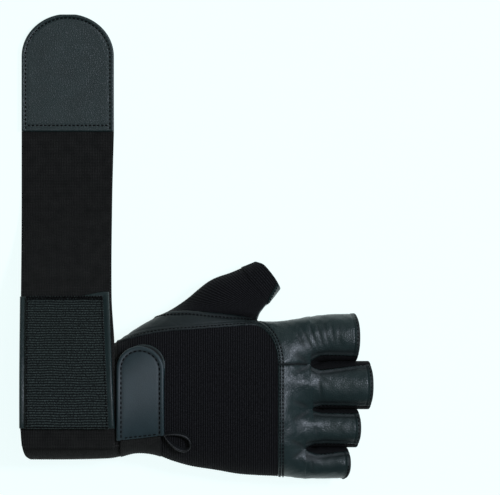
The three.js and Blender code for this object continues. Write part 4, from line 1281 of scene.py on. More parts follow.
def on_gusset(slot, half, u, v, inset):
    """Half of a gusset, from its crotch (u 0) to the mouth of the stall before it (half 0) or after it
    (half 1), and from the back lip (v 0) to the palm lip (1). Its edges lie on the leather's lips, and
    between them it follows the stall's wall and swells into the slot by a rounded share."""
    lane, edge = slot + half, 1 - half
    finger = FINGERS[lane]
    share = mix(LIP_TRIM, 1 - LIP_TRIM, v)
    bottom = math.radians(finger["palm"][edge] + 360 * edge)
    start = mix(crotch_x(slot, 1), crotch_x(slot, -1), share) - max(inset, 0)
    x = mix(start, mouth_x(finger, mix(mouth_lips(lane, 1)[edge], bottom, share)), u**ROW_GROWTH)
    top = lip_angles(lane, 1, x)[edge]
    angle = mix(top, bottom, share)
    wide = opened(x - start)
    lips = []
    for side in (1, -1):
        own = on_lane(lane, side, x, edge, inset)[..., 2]
        other = on_lane(slot + edge, side, x, half, inset)[..., 2]
        lips.append(mix((own + other) / 2, own, wide))
    swelling = GUSSET_BULGE[slot] * wide * np.sin(math.pi * v) ** 0.5 if inset == 0 else 0
    stall = on_finger(finger, x, angle, inset - swelling)
    chord = mix(on_finger(finger, x, top, inset)[..., 2], on_finger(finger, x, bottom, inset)[..., 2], share)
    z = mix(lips[0], lips[1], share) + wide * (stall[..., 2] - chord)
    return np.stack([x, mix(CROTCHES[slot]["across"] * PALM_WIDTH, stall[..., 1], wide), z], -1)


gusset_u, gusset_v = np.linspace(0, 1, 36)[:, None], np.linspace(0, 1, 22)[None, :]
GUSSET_LENGTH, GUSSET_DEPTH = 30, 18
GUSSETS = [
    {"node": "gusset_index_middle", "name": "first_jersey_gusset"},
    {"node": "gusset_middle_ring", "name": "second_jersey_gusset"},
    {"node": "gusset_ring_little", "name": "third_jersey_gusset"},
]
for slot, row in enumerate(GUSSETS):
    halves = []
    for half in (0, 1):
        outer, inner = [on_gusset(slot, half, gusset_u, gusset_v, inset) for inset in (0, GUSSET_THICKNESS)]
        halves.append((outer, inner, on_map(outer, gusset_u * GUSSET_LENGTH, gusset_v * GUSSET_DEPTH)))
    # The first half is turned round, so that the two meet at the crotch with their faces the same way
    halves[0] = [grid[::-1] for grid in halves[0]]
    wall(row["node"], row["name"], halves, gusset_paint)

# The thumb
# A stall of the same ribbed knit with leather on its palm side, set into the armhole between the index
# panel and the palm. Its mouth is folded over and sewn to a broad hem.

THUMB_WIDTH, THUMB_HEIGHT = 21, 20.6
THUMB_REACH, THUMB_SPREAD, THUMB_LEVEL = 37.6, 68.5, 14
HEM_START = 0.84
THUMB_HEM_RISE = 0.5
THUMB_SEAMS = (16, 198)
# Rings between armhole and mouth: share of the way, place between the armhole's centre and the mouth's,
# half-width as a share of the thumb's width, turn of the width in degrees, rise and drop as shares of the
# thumb's height
THUMB_RINGS = [
    {"way": 0.3, "forward": 0.255, "side": 0.02, "half": 1, "turn": -10.5, "rise": 0.58, "drop": 0.6},
    {"way": 0.55, "forward": 0.467, "side": 0.36, "half": 0.785, "turn": -31, "rise": 0.55, "drop": 0.57},
    {"way": 0.8, "forward": 0.7, "side": 0.61, "half": 0.61, "turn": -44, "rise": 0.52, "drop": 0.53},
    {"way": 1, "forward": 0.985, "side": 1, "half": 0.455, "turn": -52, "rise": 0.47, "drop": 0.47},
]
armhole = on_body(ARMHOLE_X, SIDE_SEAM, 0)
thumb_axis = np.array([THUMB_REACH, THUMB_SPREAD]) - armhole[:2]


def on_thumb(way, turn, inset):
    """A point on the thumb's stall: for each angle round it a smooth curve from the armhole's edge
    through the rings, read at a share of the way to the mouth. Its slope at a ring is that between the
    rings on its two sides."""
    way, turn, inset = np.broadcast_arrays(way, turn, inset)
    up = np.sin(turn)
    swing = np.where(up > 0, ARMHOLE_BACK, ARMHOLE_PALM) * up * (1 - inset / (0.5 * THUMB_WIDTH))
    rings = [on_body(ARMHOLE_X + (ARMHOLE_HALF - inset) * np.cos(turn), SIDE_SEAM + np.radians(swing), 0)]
    ways = [0]
    for row in THUMB_RINGS:
        across = (row["half"] * THUMB_WIDTH - inset) * np.cos(turn)
        height = np.where(up > 0, row["rise"], row["drop"]) * THUMB_HEIGHT - inset
        x = armhole[0] + row["forward"] * thumb_axis[0] + across * math.cos(math.radians(row["turn"]))
        y = armhole[1] + row["side"] * thumb_axis[1] + across * math.sin(math.radians(row["turn"]))
        rings.append(np.stack([x, y, THUMB_LEVEL + height * up], -1))
        ways.append(row["way"])
    last = len(rings) - 1
    slopes = []
    for k in range(len(rings)):
        a, b = max(k - 1, 0), min(k + 1, last)
        slopes.append((rings[b] - rings[a]) / (ways[b] - ways[a]))
    place = rings[0]
    for k in range(last):
        span = ways[k + 1] - ways[k]
        t = np.clip((way - ways[k]) / span, 0, 1)[..., None]
        curve = cubic(rings[k], rings[k + 1] - rings[k], slopes[k] * span, slopes[k + 1] * span, t)
        place = np.where((way > ways[k])[..., None], curve, place)
    return place


THUMB_KNIT_RIB, THUMB_RIB_DEPTH = 1.1, 0.09
thumb_trim = math.degrees(SEAM_GAP / THUMB_WIDTH)
HEM_SLANT = 0.04


def hem_start(turn):
    """Where the hem starts: further out on the side away from the other stalls."""
    return HEM_START + HEM_SLANT * (1 - np.cos(turn)) / 2


# The length run along the back of the stall at each share of the way
way_table = np.linspace(0, 1, 200)
run_table = run_along(on_thumb(way_table[:, None], np.radians([[90.0]]), 0), 0)[:, 0]


def rib_place(way):
    """The place along the knit in the back panel's ribs, so that its paint has the thumb's narrower
    ribs."""
    return np.interp(way, way_table, run_table) * KNIT_RIB / THUMB_KNIT_RIB


def rib_relief(way):
    """The thumb's ribs: the root of a cosine's size over each rib."""
    return THUMB_RIB_DEPTH * (np.abs(np.cos(math.pi * rib_place(way) / KNIT_RIB)) ** 0.7 - 0.8)


def thumb_patch(start, end, thickness, ribbed):
    """A panel of the stall between two angles, up to the hem. The knit has ribs across the stall."""
    turn = np.radians(mix(start + thumb_trim, end - thumb_trim, crowded(60, 34)))[None, :]
    way = np.linspace(0, 1, 200 if ribbed else 70)[:, None] * (hem_start(turn) - SEAM_GAP / THUMB_SPREAD)
    flat = on_thumb(way, turn, 0)
    run = run_along(flat, 0)
    around = run_along(flat, 1)
    from_seam = np.minimum(around, around[:, -1:] - around)
    relief = -rounded_edge(from_seam, 0.5)
    if ribbed:
        relief = relief + rib_relief(way)
    outer = on_thumb(way, turn, -relief)
    return outer, on_thumb(way, turn, thickness), on_map(outer, rib_place(way) + 0 * run, around)


wall("thumb_back", "thumb_knit", [thumb_patch(*THUMB_SEAMS, KNIT_THICKNESS, True)], knit_paint)
wall(
    "thumb_palm",
    "thumb_leather",
    [thumb_patch(THUMB_SEAMS[1], THUMB_SEAMS[0] + 360, LEATHER_THICKNESS, False)],
    nappa_paint,
)

MOUTH_LEAD, MOUTH_CORNER = 1.4, 1.5


def hem_rise(turn):
    """How far the folded hem stands out: least on the side of the other stalls, where the leather runs over
    it, by a bell over the cosine of the angle."""
    return THUMB_HEM_RISE * (1 - 0.75 * ridge(np.cos(turn), 1, 0.6))


def on_mouth(way, turn, inset):
    """A point on the stall near its mouth, whose back runs further forward than its sides: it is led
    along the thumb by the sine of its angle, and held back at its far corner, more towards the mouth."""
    lead = MOUTH_LEAD * np.maximum(np.sin(turn), 0) - MOUTH_CORNER * ridge(np.cos(turn), -1, 0.25)
    lead = lead * soft_step(way, HEM_START, 1)
    forward = math.radians(THUMB_RINGS[-1]["turn"] + 90)
    return on_thumb(way, turn, inset) + lead[..., None] * np.array([math.cos(forward), math.sin(forward), 0])


# The hem is the stall's knit turned outward: it stands out, is thickest where it folds, and is sewn down
# at its rear with a lip that laps over the stall, at shares of less than nothing
HEM_LAP = 0.11
HEM_LENGTH = 9.5
hem_lip, hem_edge = [-HEM_LAP, -0.09, -0.06, -0.03], [0.94, 0.97, 0.99, 1]
hem_u = np.concatenate([hem_lip, np.linspace(0.02, 0.9, 50), hem_edge])[:, None]
hem_turn = np.radians(np.linspace(0, 360, 121))[None, :]
hem_way = mix(hem_start(hem_turn), 1, hem_u)
hem_lift = hem_rise(hem_turn) + rib_relief(hem_way)
hem_lift = hem_lift - rounded_edge(np.minimum(hem_u + HEM_LAP, 1 - hem_u) * HEM_LENGTH, 0.5)
hem_lift = hem_lift + 0.12 * np.sin(7 * hem_turn) * hem_u * (1 - hem_u) * 2
hem_outer = on_mouth(hem_way, hem_turn, -hem_lift)
hem_inner = on_mouth(hem_way, hem_turn, np.where(hem_u < 0.01, -0.03, KNIT_THICKNESS))
wall(
    "thumb_hem",
    "thumb_knit_hem",
    [(hem_outer, hem_inner, on_map(hem_outer, rib_place(hem_way), hem_turn * 9))],
    knit_paint,
)

# The thumb's palm leather runs on over the hem to the mouth, and widens there towards the back
TONGUE_START, TONGUE_LENGTH, TONGUE_BREADTH = 0.76, 14, 12
tongue_u, tongue_v = crowded(40, TONGUE_LENGTH, 0.7)[:, None], crowded(26, TONGUE_BREADTH, 0.7)[None, :]
tongue_way = mix(TONGUE_START, 0.998, tongue_u)
tongue_back = mix(2, 50, tongue_u**0.8)
tongue_turn = np.radians(mix(-50, tongue_back, tongue_v))
tongue_side = np.minimum((1 - tongue_u) * TONGUE_LENGTH, np.minimum(tongue_v, 1 - tongue_v) * TONGUE_BREADTH)
tongue_flat = on_mouth(tongue_way, tongue_turn, 0)
tongue_lift = mix(-0.7, hem_rise(tongue_turn) + 0.2, soft_step(tongue_way, TONGUE_START, HEM_START))
tongue_lift = tongue_lift + 0.06 * soft_noise(tongue_flat, 5, 21)
tongue_outer = on_mouth(tongue_way, tongue_turn, rounded_edge(tongue_side, 0.4) - tongue_lift - 0.55)
tongue_inner = on_mouth(tongue_way, tongue_turn, 0.35 - tongue_lift)
tongue_map = on_map(tongue_outer, tongue_u * TONGUE_LENGTH, tongue_v * TONGUE_BREADTH)
wall(
    None,
    "thumb_leather_tongue",
    [(tongue_outer, tongue_inner, tongue_map)],
    nappa_paint,
)
tongue_row = np.radians(tongue_back - 6)
tongue_seam = [on_mouth(tongue_way, tongue_row, -tongue_lift[:, :1] - 0.6 - lift)[:, 0] for lift in (0, 1)]
sew("thumb_stitches", [stitch_row(*tongue_seam, 1.8, 1.3, 0.5)])

# The wrist wrap
# Two inch elastic webbing, sewn to the wrist band's back. It lies over the wrist and then straight out to
# the thumb side on the floor. A leather panel with a loop patch is sewn on it, and a round leather end
# with a hook pad.

STRAP_WIDTH = 51
STRAP_START = -26.5
STRAP_LEAVES, STRAP_LANDS = 9, 112
WRAP_LENGTH = 212.1
TAB_LENGTH = 65
TAB_OVERLAP = 8
BACKING_START, BACKING_END = -15.6, 55.5
BACKING_WIDTH, BACKING_FLARE = 49, 3.4
BACKING_SHIFT = 0.5
BACKING_THICKNESS = 1.3
PATCH_BORDER = 3.2
PATCH_THICKNESS = 1.4
WRAP_SLANT = 1.8
# The elastic's width along the wrap: it draws in between its two sewn ends
STRAP_WIDTHS = [
    {"y": STRAP_START, "width": 51.8},
    {"y": 27, "width": 51.8},
    {"y": BACKING_END, "width": 50},
    {"y": 105, "width": 50},
    {"y": WRAP_LENGTH - TAB_LENGTH, "width": STRAP_WIDTH},
]
wrap_left = BAND_MOUTH_X


def wrist_top(x, y):
    """The height at which a layer lies on the wrist."""
    return on_body(x, angle_at(x, y), 0)[..., 2] + LAYER_GAP


def strap_height(x, y):
    """The height of the wrap's underside: on the wrist up to where it leaves, then a cubic that starts
    with the wrist's slope and lands level on the floor."""
    step = 0.5
    leave = wrist_top(x, STRAP_LEAVES)
    slope = (leave - wrist_top(x, STRAP_LEAVES - step)) / step
    span = STRAP_LANDS - STRAP_LEAVES
    t = np.clip((y - STRAP_LEAVES) / span, 0, 1)
    falling = leave * (1 - 3 * t**2 + 2 * t**3) + slope * span * t * (1 - t) ** 2
    return np.where(y <= STRAP_LEAVES, wrist_top(x, np.minimum(y, STRAP_LEAVES)), falling)


def on_strap(x, y, lift):
    """A point at a lift over the wrap's underside, square to its path."""
    x, y, lift = np.broadcast_arrays(x, y, lift)
    x, y, lift = x.astype(float), y.astype(float), lift.astype(float)
    rise = strap_height(x, y + 0.5) - strap_height(x, y - 0.5)
    length = np.hypot(1, rise)
    return np.stack([x, y - lift * rise / length, strap_height(x, y) + lift / length], -1)


STRAP_RIB = 1.67
STRAP_RIB_DEPTH = 0.18
band_end_y = WRAP_LENGTH - TAB_LENGTH + TAB_OVERLAP
wrap_y = np.linspace(STRAP_START, band_end_y, 1000)[:, None]
wrap_v = crowded(12, STRAP_WIDTH)[None, :]
wrap_start = wrap_left + WRAP_SLANT * (1 - soft_step(wrap_y, STRAP_START, BACKING_START))
strap_places, strap_widths = np.array([(row["y"], row["width"]) for row in STRAP_WIDTHS]).T
wrap_x = mix(wrap_start, wrap_left + curve_through(strap_places, strap_widths, wrap_y), wrap_v)
wrap_edge = np.minimum(wrap_v, 1 - wrap_v) * STRAP_WIDTH
wrap_relief = STRAP_RIB_DEPTH * (np.cos(2 * math.pi * wrap_y / STRAP_RIB) - 1) - rounded_edge(wrap_edge, 0.6)
wrap_relief = wrap_relief + 0.1 * ridge(wrap_edge, 1.2, 0.5)
wrap_outer = on_strap(wrap_x, wrap_y, ELASTIC_THICKNESS + wrap_relief)
wrap_inner = on_strap(wrap_x, wrap_y, rounded_edge(wrap_edge, 0.4))
wrap_band = wall(
    "wrap_band",
    "wrap_elastic",
    [(wrap_outer, wrap_inner, on_map(wrap_outer, wrap_y, wrap_x))],
    elastic_paint,
)

BINDING_ROLL = 0.35
BACKING_CORNER, BACKING_DROP = 2.6, 0.6
# The patch ends so far short of the leather under it
PATCH_TOP = 1


def backing_grid(margin, u, v, lift, corner_share=0):
    """A grid on the wrap between the backing's edges, drawn in by a margin at its sides. It flares
    towards the wrist, and the leather's free corner runs out a little further than the other, by a share
    of the corner."""
    left = wrap_left - BACKING_SHIFT
    right = left + BACKING_WIDTH + BACKING_FLARE * (1 - u)
    corner = BACKING_CORNER * soft_step(v, 0.62, 0.97) - BACKING_DROP
    end = BACKING_END - PATCH_TOP + corner_share * (PATCH_TOP + corner)
    return on_strap(mix(left + margin, right - margin, v), mix(BACKING_START, end, u), lift)


BACKING_LENGTH = BACKING_END - BACKING_START
backing_lift = ELASTIC_THICKNESS + LAYER_GAP
backing_u, backing_v = crowded(80, BACKING_LENGTH)[:, None], crowded(44, BACKING_WIDTH)[None, :]
backing_side = np.minimum(backing_v, 1 - backing_v) * BACKING_WIDTH
backing_far = (1 - backing_u) * BACKING_LENGTH
backing_edge = np.minimum(backing_side, backing_far)
backing_rim = np.minimum(backing_edge, backing_u * BACKING_LENGTH)
backing_relief = BINDING_ROLL * ridge(backing_edge, 1.2, 1.1) - rounded_edge(backing_rim, 0.9)
backing_relief = backing_relief - 0.3 * ridge(backing_edge, 3.1, 0.5)
backing_flat = backing_grid(0, backing_u, backing_v, backing_lift, 1)
backing_relief = backing_relief + 0.06 * soft_noise(backing_flat, 6, 8) * (backing_edge < PATCH_BORDER)
backing_outer = backing_grid(0, backing_u, backing_v, backing_lift + BACKING_THICKNESS + backing_relief, 1)
backing_map = on_map(backing_outer, backing_u * BACKING_LENGTH, backing_v * BACKING_WIDTH)
wrap_backing = wall(
    "wrap_backing",
    "wrap_leather_backing",
    [(backing_outer, backing_flat, backing_map)],
    nappa_paint,
)

# The loop patch is a knit of nylon pile: rows of small tight loops, with a dark gap between two rows
PATCH_RIB = 1.31
PATCH_LOOP = 1.5
PATCH_RELIEF = 0.36
patch_lift = backing_lift + BACKING_THICKNESS + LAYER_GAP
patch_length = BACKING_LENGTH - PATCH_TOP
patch_width = BACKING_WIDTH - 2 * PATCH_BORDER
patch_u, patch_v = crowded(280, patch_length)[:, None], crowded(104, patch_width)[None, :]
patch_y, patch_x = patch_u * patch_length, patch_v * patch_width
# The rows wander a little from their straight line
row_drift = 0.14 * soft_noise(np.stack(np.broadcast_arrays(patch_y * 0.6, patch_x, 0.0), -1), 9, 12)
row_share = patch_y / PATCH_RIB + row_drift
patch_rows = np.abs(np.cos(math.pi * row_share)) ** 0.6
patch_loops = 0.5 + 0.5 * np.cos(2 * math.pi * (patch_x / PATCH_LOOP + 0.5 * np.floor(row_share + 0.5)))
patch_side = np.minimum(patch_v, 1 - patch_v) * patch_width
patch_edge = np.minimum(patch_side, np.minimum(patch_u, 1 - patch_u) * patch_length)
patch_flat = np.stack(np.broadcast_arrays(patch_y, patch_x, 0.0), -1)
patch_relief = PATCH_RELIEF * (patch_rows * patch_loops - 1) - rounded_edge(patch_edge, 0.8)
patch_relief = patch_relief + 0.04 * soft_noise(patch_flat, 3, 14)
patch_outer = backing_grid(PATCH_BORDER, patch_u, patch_v, patch_lift + PATCH_THICKNESS + patch_relief)
patch_inner = backing_grid(PATCH_BORDER, patch_u, patch_v, patch_lift)
# Looped nylon pile: dull dark green-grey, with painted light on the loops and painted shade between them
pile_paint, pile_tree, pile_shader = new_material("looped_nylon_pile")
pile_shader.inputs["Roughness"].default_value = 0.8
pile_shader.inputs["Specular IOR Level"].default_value = 0.15
pile_place = surface_place(pile_tree)
pile_row_light_and_shade = bands(pile_tree, pile_place, "X", PATCH_RIB, Phase_Offset=math.pi / 2, Distortion=0.6)
pile_tuft = add_node(pile_tree, "ShaderNodeTexNoise", None, Vector=pile_place, Scale=1.4, Detail=3)
pile_speckle = add_node(
    pile_tree, "ShaderNodeMapRange", None, Value=pile_tuft.outputs[0], From_Min=0.3, From_Max=0.7, To_Max=0.9
)
pile_share = product(pile_tree, pile_row_light_and_shade, pile_speckle.outputs[0])
pile_tree.links.new(
    blend(pile_tree, pile_share, linear("#070a0b"), linear("#525f5b")), pile_shader.inputs["Base Color"]
)
set_bump(pile_tree, pile_shader, pile_tuft.outputs[0], 0.6, 0.2)
wrap_patch = wall(
    "wrap_patch",
    "looped_wrap_patch",
    [(patch_outer, patch_inner, on_map(patch_outer, row_share * PATCH_RIB, patch_x))],
    pile_paint,
)

# The round end, of two layers of nappa folded in at the rim, with a row of stitches all round
ROUND_START, ROUND_SHARE = 10, 0.6


def tab_outline(u, half_width, round_length, length):
    """A tab's outline: how far down from its round end, and its half-width there, at each share of its
    length. The end is a half ellipse that starts flat, and the rest runs straight."""
    turn = np.radians(mix(ROUND_START, 90, np.clip(u / ROUND_SHARE, 0, 1)))
    past = np.clip((u - ROUND_SHARE) / (1 - ROUND_SHARE), 0, 1)
    return round_length * (1 - np.cos(turn)) + past * (length - round_length), half_width * np.sin(turn)


def tab_rows(count):
    """Shares of a tab's length for its rows: close together at its round end and at its straight one."""
    round_rows = ROUND_SHARE * np.linspace(0, 1, count) ** 1.15
    straight_rows = mix(ROUND_SHARE, 1, 1 - np.linspace(1, 0, 46)[1:] ** 1.3)
    return np.concatenate([round_rows, straight_rows])[:, None]


WRAP_ROUND = 0.46 * STRAP_WIDTH
wrap_middle = wrap_left + STRAP_WIDTH / 2
tab_v = crowded(44, STRAP_WIDTH, 0.9)[None, :]
tab_u = tab_rows(70)


def rounded_distance(down, across, half_width, round_length):
    """The distance to a tab's round end and sides: in the rounded part it is measured along the ellipse's
    radius."""
    from_centre = np.maximum(round_length - down, 0) / round_length
    radius = np.hypot(across / half_width, from_centre)
    return (1 - radius) * np.minimum(half_width, round_length)


down, half = tab_outline(tab_u, STRAP_WIDTH / 2, WRAP_ROUND, TAB_LENGTH)
across = mix(-half, half, tab_v)
tab_edge = rounded_distance(down, across, STRAP_WIDTH / 2, WRAP_ROUND)
tab_end = TAB_LENGTH - down
TAB_STITCH_INSET = 2.2
TAB_END_ROW = 3.4
tab_relief = 0.22 * ridge(tab_edge, 0.9, 0.8) - 0.28 * ridge(tab_edge, TAB_STITCH_INSET, 0.5)
tab_relief = tab_relief - rounded_edge(tab_edge, 0.6)
tab_relief = tab_relief + 0.15 * ridge(tab_end, 0.9, 0.7) - 0.25 * ridge(tab_end, TAB_END_ROW, 0.5)
tab_relief = tab_relief - rounded_edge(tab_end, 0.6)
tab_flat = on_strap(wrap_middle + across, WRAP_LENGTH - down, 0)
tab_relief = tab_relief + 0.05 * soft_noise(tab_flat, 14, 9)
tab_lift = ELASTIC_THICKNESS + LAYER_GAP
wrap_tab_outer = on_strap(wrap_middle + across, WRAP_LENGTH - down, tab_lift + LEATHER_THICKNESS + tab_relief)
wrap_tab_inner = on_strap(wrap_middle + across, WRAP_LENGTH - down, tab_lift)
wrap_tab = wall(
    "wrap_tab",
    "wrap_leather_end",
    [(wrap_tab_outer, wrap_tab_inner, on_map(wrap_tab_outer, down, across))],
    nappa_paint,
)


def outline_line(middle, half_width, round_length, top, length, inset, place):
    """A line inside a tab's rim from one lower corner round its end to the other, as points at two
    lifts."""
    turn = np.linspace(-90, 90, 90)
    round_x = (half_width - inset) * np.sin(np.radians(turn))
    round_y = top - round_length + (round_length - inset) * np.cos(np.radians(turn))
    straight = np.linspace(top - length + 1, top - round_length, 40)[:-1]
    x = np.concatenate([np.full(39, -(half_width - inset)), round_x, np.full(39, half_width - inset)])
    y = np.concatenate([straight, round_y, straight[::-1]])
    return place(middle + x, y, 0), place(middle + x, y, 1)


tab_top_lift = tab_lift + LEATHER_THICKNESS
tab_line = outline_line(
    wrap_middle,
    STRAP_WIDTH / 2,
    WRAP_ROUND,
    WRAP_LENGTH,
    TAB_LENGTH,
    TAB_STITCH_INSET,
    lambda x, y, lift: on_strap(x, y, tab_top_lift - 0.15 + lift),
)
end_x, end_y = wrap_middle + mix(-22.5, 22.5, shares), WRAP_LENGTH - TAB_LENGTH + TAB_END_ROW
end_line = [on_strap(end_x, end_y, tab_top_lift - 0.15 + lift) for lift in (0, 1)]
wrap_tab_stitches = sew(
    "wrap_end_stitches",
    [stitch_row(*line, 2.3, 1.7) for line in (tab_line, end_line)],
)

# The backing's stitches, which also hold the patch, and the zigzag at the patch's outer end
border = PATCH_BORDER + 0.9
patch_top = patch_lift + PATCH_THICKNESS
stitch_lifts = (patch_top - 0.25, patch_top + 0.75)
border_lines = [
    [backing_grid(border, shares, side + 0 * shares, lift) for lift in stitch_lifts] for side in (0, 1)
]
ZIGZAGS, ZIG_DEPTH = 56, 2.2
zig = np.arange(ZIGZAGS)
zig_u = 1 - (0.3 + ZIG_DEPTH * (zig % 2)) / patch_length
zig_v = (zig + 0.5) / ZIGZAGS
zig_lines = [backing_grid(PATCH_BORDER, zig_u, zig_v, patch_top - 0.15 + lift) for lift in (0, 1)]
FOOT_SHARE = 0.012
foot_line = [backing_grid(PATCH_BORDER, FOOT_SHARE + 0 * shares, shares, lift) for lift in stitch_lifts]
wrap_patch_stitches = sew(
    "wrap_patch_stitches",
    [stitch_row(*line, 1.9, 1.4, 0.85) for line in (*border_lines, foot_line)]
    + [stitch_row(*zig_lines, 1.2, 1.15, 0.85)],
)

# The hook pad under the round end, drawn in from its rim, with fine teeth towards the floor
HOOK_MARGIN, HOOK_THICKNESS, HOOK_PITCH = 3, 1.6, 1.4
hook_length = TAB_LENGTH - TAB_OVERLAP - HOOK_MARGIN - SEAM_GAP
hook_down, hook_half = tab_outline(tab_u, STRAP_WIDTH / 2 - HOOK_MARGIN, 0.44 * STRAP_WIDTH, hook_length)
hook_x = wrap_middle + mix(-hook_half, hook_half, tab_v)
hook_y = WRAP_LENGTH - HOOK_MARGIN - hook_down
hook_waves = np.cos(2 * math.pi * hook_x / HOOK_PITCH) * np.cos(2 * math.pi * hook_y / HOOK_PITCH)
hook_teeth = 0.25 * (hook_waves - 1)
hook_outer = on_strap(hook_x, hook_y, HOOK_THICKNESS - 0.02)
hook_inner = on_strap(hook_x, hook_y, -hook_teeth * 0.6)
wrap_hook = wall(
    "wrap_hook",
    "wrap_hook_pad",
    [(hook_outer, hook_inner, on_map(hook_outer, hook_down, hook_x))],
    pile_paint,
)

# The closure
# A narrow leather tab over the back of the wrist, rolled at its rim, with a fastener under it that shows
# past its round end. It pulls on an elastic that runs from under it round the little-finger side.

CLOSURE_WIDTH = 26.2
CLOSURE_LEFT = -46.7
CLOSURE_TOP, CLOSURE_BOTTOM = 27, -21
# How far its lower edge rises from the wrist's side to the other
CLOSURE_SLANT = 3
CLOSURE_THICKNESS, FASTENER_THICKNESS = 1.6, 1.1
FASTENER_SHIFT, FASTENER_MARGIN = 2, 0.5
ELASTIC_TUCK = 7
ELASTIC_END = 190
CLOSURE_ROUND = 0.46 * CLOSURE_WIDTH
closure_middle = CLOSURE_LEFT + CLOSURE_WIDTH / 2
closure_length = CLOSURE_TOP - CLOSURE_BOTTOM


def on_top(x, y, lift):
    """A point over the glove's back."""
    return on_body(x, angle_at(x, y), -np.asarray(lift, float))


def closure_layer(node, name, shift, margin, length, lift, thickness, relief_of, dark_and_painted_shade_at, paint):
    """A layer of the closure with the tab's outline, drawn in by a margin and shifted towards the
    fingertips at its round end."""
    v = crowded(36, CLOSURE_WIDTH, 0.9)[None, :]
    down, half = tab_outline(tab_u, CLOSURE_WIDTH / 2 - margin, CLOSURE_ROUND, length)
    across = mix(-half, half, v)
    edge = rounded_distance(down, across, CLOSURE_WIDTH / 2 - margin, CLOSURE_ROUND)
    rise = CLOSURE_SLANT * (0.5 + across / CLOSURE_WIDTH) * np.clip(down / length, 0, 1) ** 2
    sideways = shift * np.clip(1 - down / (0.6 * length), 0, 1)
    x, y = closure_middle + sideways + across, CLOSURE_TOP + shift - down + rise
    outer = on_top(x, y, lift + thickness + relief_of(edge, length - down))
    patch = (outer, on_top(x, y, lift + 0 * x), on_map(outer, down, across), dark_and_painted_shade_at(edge))
    return wall(node, name, [patch], paint)


closure_layer(
    "closure_fastener",
    "closure_fastener_pad",
    FASTENER_SHIFT,
    FASTENER_MARGIN,
    closure_length - ELASTIC_TUCK - SEAM_GAP,
    LAYER_GAP,
    FASTENER_THICKNESS,
    lambda edge, end: 0.25 * ridge(edge, 0.5, 0.5) - rounded_edge(edge, 0.5),
    lambda edge: soft_step(edge, 0.7, 1.1),
    nappa_paint,
)
closure_lift = LAYER_GAP + FASTENER_THICKNESS + LAYER_GAP
CLOSURE_STITCH_INSET = 2.5


def closure_relief(edge, end):
    """A rolled rim, the groove of the stitches inside it, and a flat middle that is a little sunk."""
    relief = 0.3 * ridge(edge, 1, 0.8) - 0.3 * ridge(edge, CLOSURE_STITCH_INSET, 0.5)
    relief = relief - 0.15 * soft_step(edge, 2.4, 3.4)
    return relief - rounded_edge(edge, 0.8) - rounded_edge(end, 0.5)


# The same leather, painted bluer and lighter: a painted sheen
sheen_painted_closure_paint = new_nappa("nappa_leather_painted_sheen", "#1a2a2e", "#2a3d42", 0.03, 0.42)
closure_layer(
    "closure_tab",
    "closure_leather",
    0,
    0,
    closure_length,
    closure_lift,
    CLOSURE_THICKNESS,
    closure_relief,
    # The stitches' groove is painted darker: painted shade
    lambda edge: 0.6 * ridge(edge, CLOSURE_STITCH_INSET, 0.5),
    sheen_painted_closure_paint,
)
CLOSURE_END_ROW = 1.3


def on_closure(x, y, lift):
    """A point over the closure's leather, at a place before its lower edge was slanted."""
    share = np.clip((CLOSURE_TOP - y) / closure_length, 0, 1) ** 2
    rise = CLOSURE_SLANT * (0.5 + (x - closure_middle) / CLOSURE_WIDTH) * share
    return on_top(x, y + rise, closure_lift + CLOSURE_THICKNESS - 0.15 + lift)


closure_line = outline_line(
    closure_middle,
    CLOSURE_WIDTH / 2,
    CLOSURE_ROUND,
    CLOSURE_TOP,
    closure_length,
    CLOSURE_STITCH_INSET,
    on_closure,
)
closure_end_x = closure_middle + mix(-9, 9, shares)
closure_end_y = CLOSURE_BOTTOM + CLOSURE_END_ROW + 0 * shares
closure_end = [on_closure(closure_end_x, closure_end_y, lift) for lift in (0, 1)]
sew("closure_stitches", [stitch_row(*closure_line, 2.7, 1.9, 0.75), stitch_row(*closure_end, 2.7, 1.9, 0.75)])

ELASTIC_WIDTH = 22
CLOSURE_RIB = 1.2
strap_v = crowded(90, CLOSURE_WIDTH, 0.9)[None, :]
ELASTIC_AROUND = 34
strap_u = crowded(50, ELASTIC_AROUND)[:, None]
elastic_x = closure_middle + (strap_v - 0.5) * ELASTIC_WIDTH
elastic_start = angle_at(elastic_x, CLOSURE_BOTTOM + ELASTIC_TUCK)
elastic_angle = mix(elastic_start, math.radians(ELASTIC_END), strap_u)
elastic_side = np.minimum(strap_v, 1 - strap_v) * ELASTIC_WIDTH
elastic_relief = 0.18 * (np.abs(np.cos(math.pi * elastic_x / CLOSURE_RIB)) - 1)
elastic_relief = elastic_relief - rounded_edge(elastic_side, 0.4)
# It comes down onto the glove towards its far end, which is sewn flat
elastic_flat = soft_step(strap_u, 0.5, 0.9)
elastic_lift = mix(LAYER_GAP + FASTENER_THICKNESS, 0.25, elastic_flat)
elastic_outer = on_body(elastic_x, elastic_angle, -elastic_lift - elastic_relief)
elastic_inner = on_body(elastic_x, elastic_angle, mix(-LAYER_GAP, 0.6, elastic_flat) + 0 * elastic_x)
wall(
    "closure_elastic",
    "closure_webbing",
    [(elastic_outer, elastic_inner, on_map(elastic_outer, elastic_x, strap_u * ELASTIC_AROUND))],
    elastic_paint,
)

# The pull loop
# A narrow satin tape, folded to a drop and sewn in at the closure's corner. It stands on its edge.

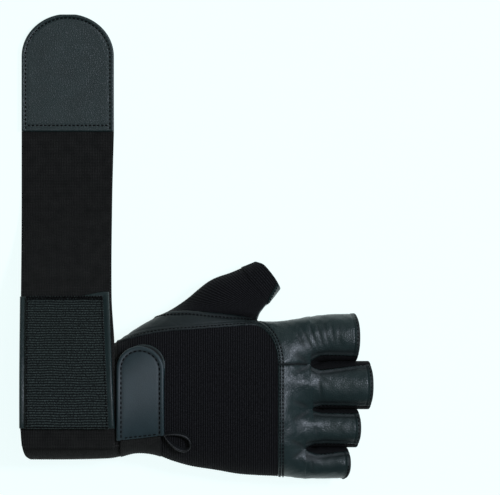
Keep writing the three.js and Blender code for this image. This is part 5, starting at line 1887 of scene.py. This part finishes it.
LOOP_LENGTH, LOOP_WIDTH = 16.5, 7.6
LOOP_TAPE, LOOP_HEIGHT = 0.9, 2.6
LOOP_PLACE, LOOP_TURN = (-21, -18.2), math.radians(-24)
LOOP_FULLNESS = 0.75

# Woven satin tape: black, smooth, with a soft lustre along its edges
tape_paint, tape_tree, tape_shader = new_material("black_satin_tape")
tape_shader.inputs["Roughness"].default_value = 0.5
tape_shader.inputs["Specular IOR Level"].default_value = 0.4
TWILL_PITCH = 0.5
tape_twill = bands(tape_tree, surface_place(tape_tree), "DIAGONAL", TWILL_PITCH)
tape_colour = blend(tape_tree, tape_twill, linear("#0c0d0e"), linear("#1d1f21"))
tape_tree.links.new(tape_colour, tape_shader.inputs["Base Color"])
set_bump(tape_tree, tape_shader, tape_twill, 0.4, 0.05)


def on_loop(u, v, inset):
    """The tape's drop: a closed line that leaves its corner, swells and comes back, drawn in by the
    inset, at a share of the tape's height over the knit."""
    turn = v * 2 * math.pi
    forward = (LOOP_LENGTH - 2 * inset) * (1 - np.cos(turn)) / 2 + inset
    aside = LOOP_FULLNESS * (LOOP_WIDTH - 2 * inset) * np.sin(turn) * np.sin(turn / 2)
    x = LOOP_PLACE[0] + forward * math.cos(LOOP_TURN) - aside * math.sin(LOOP_TURN)
    y = LOOP_PLACE[1] + forward * math.sin(LOOP_TURN) + aside * math.cos(LOOP_TURN)
    return on_top(x, y, LAYER_GAP + u * LOOP_HEIGHT)


loop_u, loop_v = crowded(8, LOOP_HEIGHT, 0.5)[:, None], np.linspace(0, 1, 91)[None, :]
loop_edge = rounded_edge(np.minimum(loop_u, 1 - loop_u) * LOOP_HEIGHT, 0.4)
loop_outer = on_loop(loop_u, loop_v, loop_edge)
loop_inner = on_loop(loop_u, loop_v, LOOP_TAPE - loop_edge)
LOOP_AROUND = 44
wall(
    "pull_loop",
    "folded_pull_loop",
    [(loop_outer, loop_inner, on_map(loop_outer, loop_v * LOOP_AROUND, loop_u * LOOP_HEIGHT))],
    tape_paint,
)
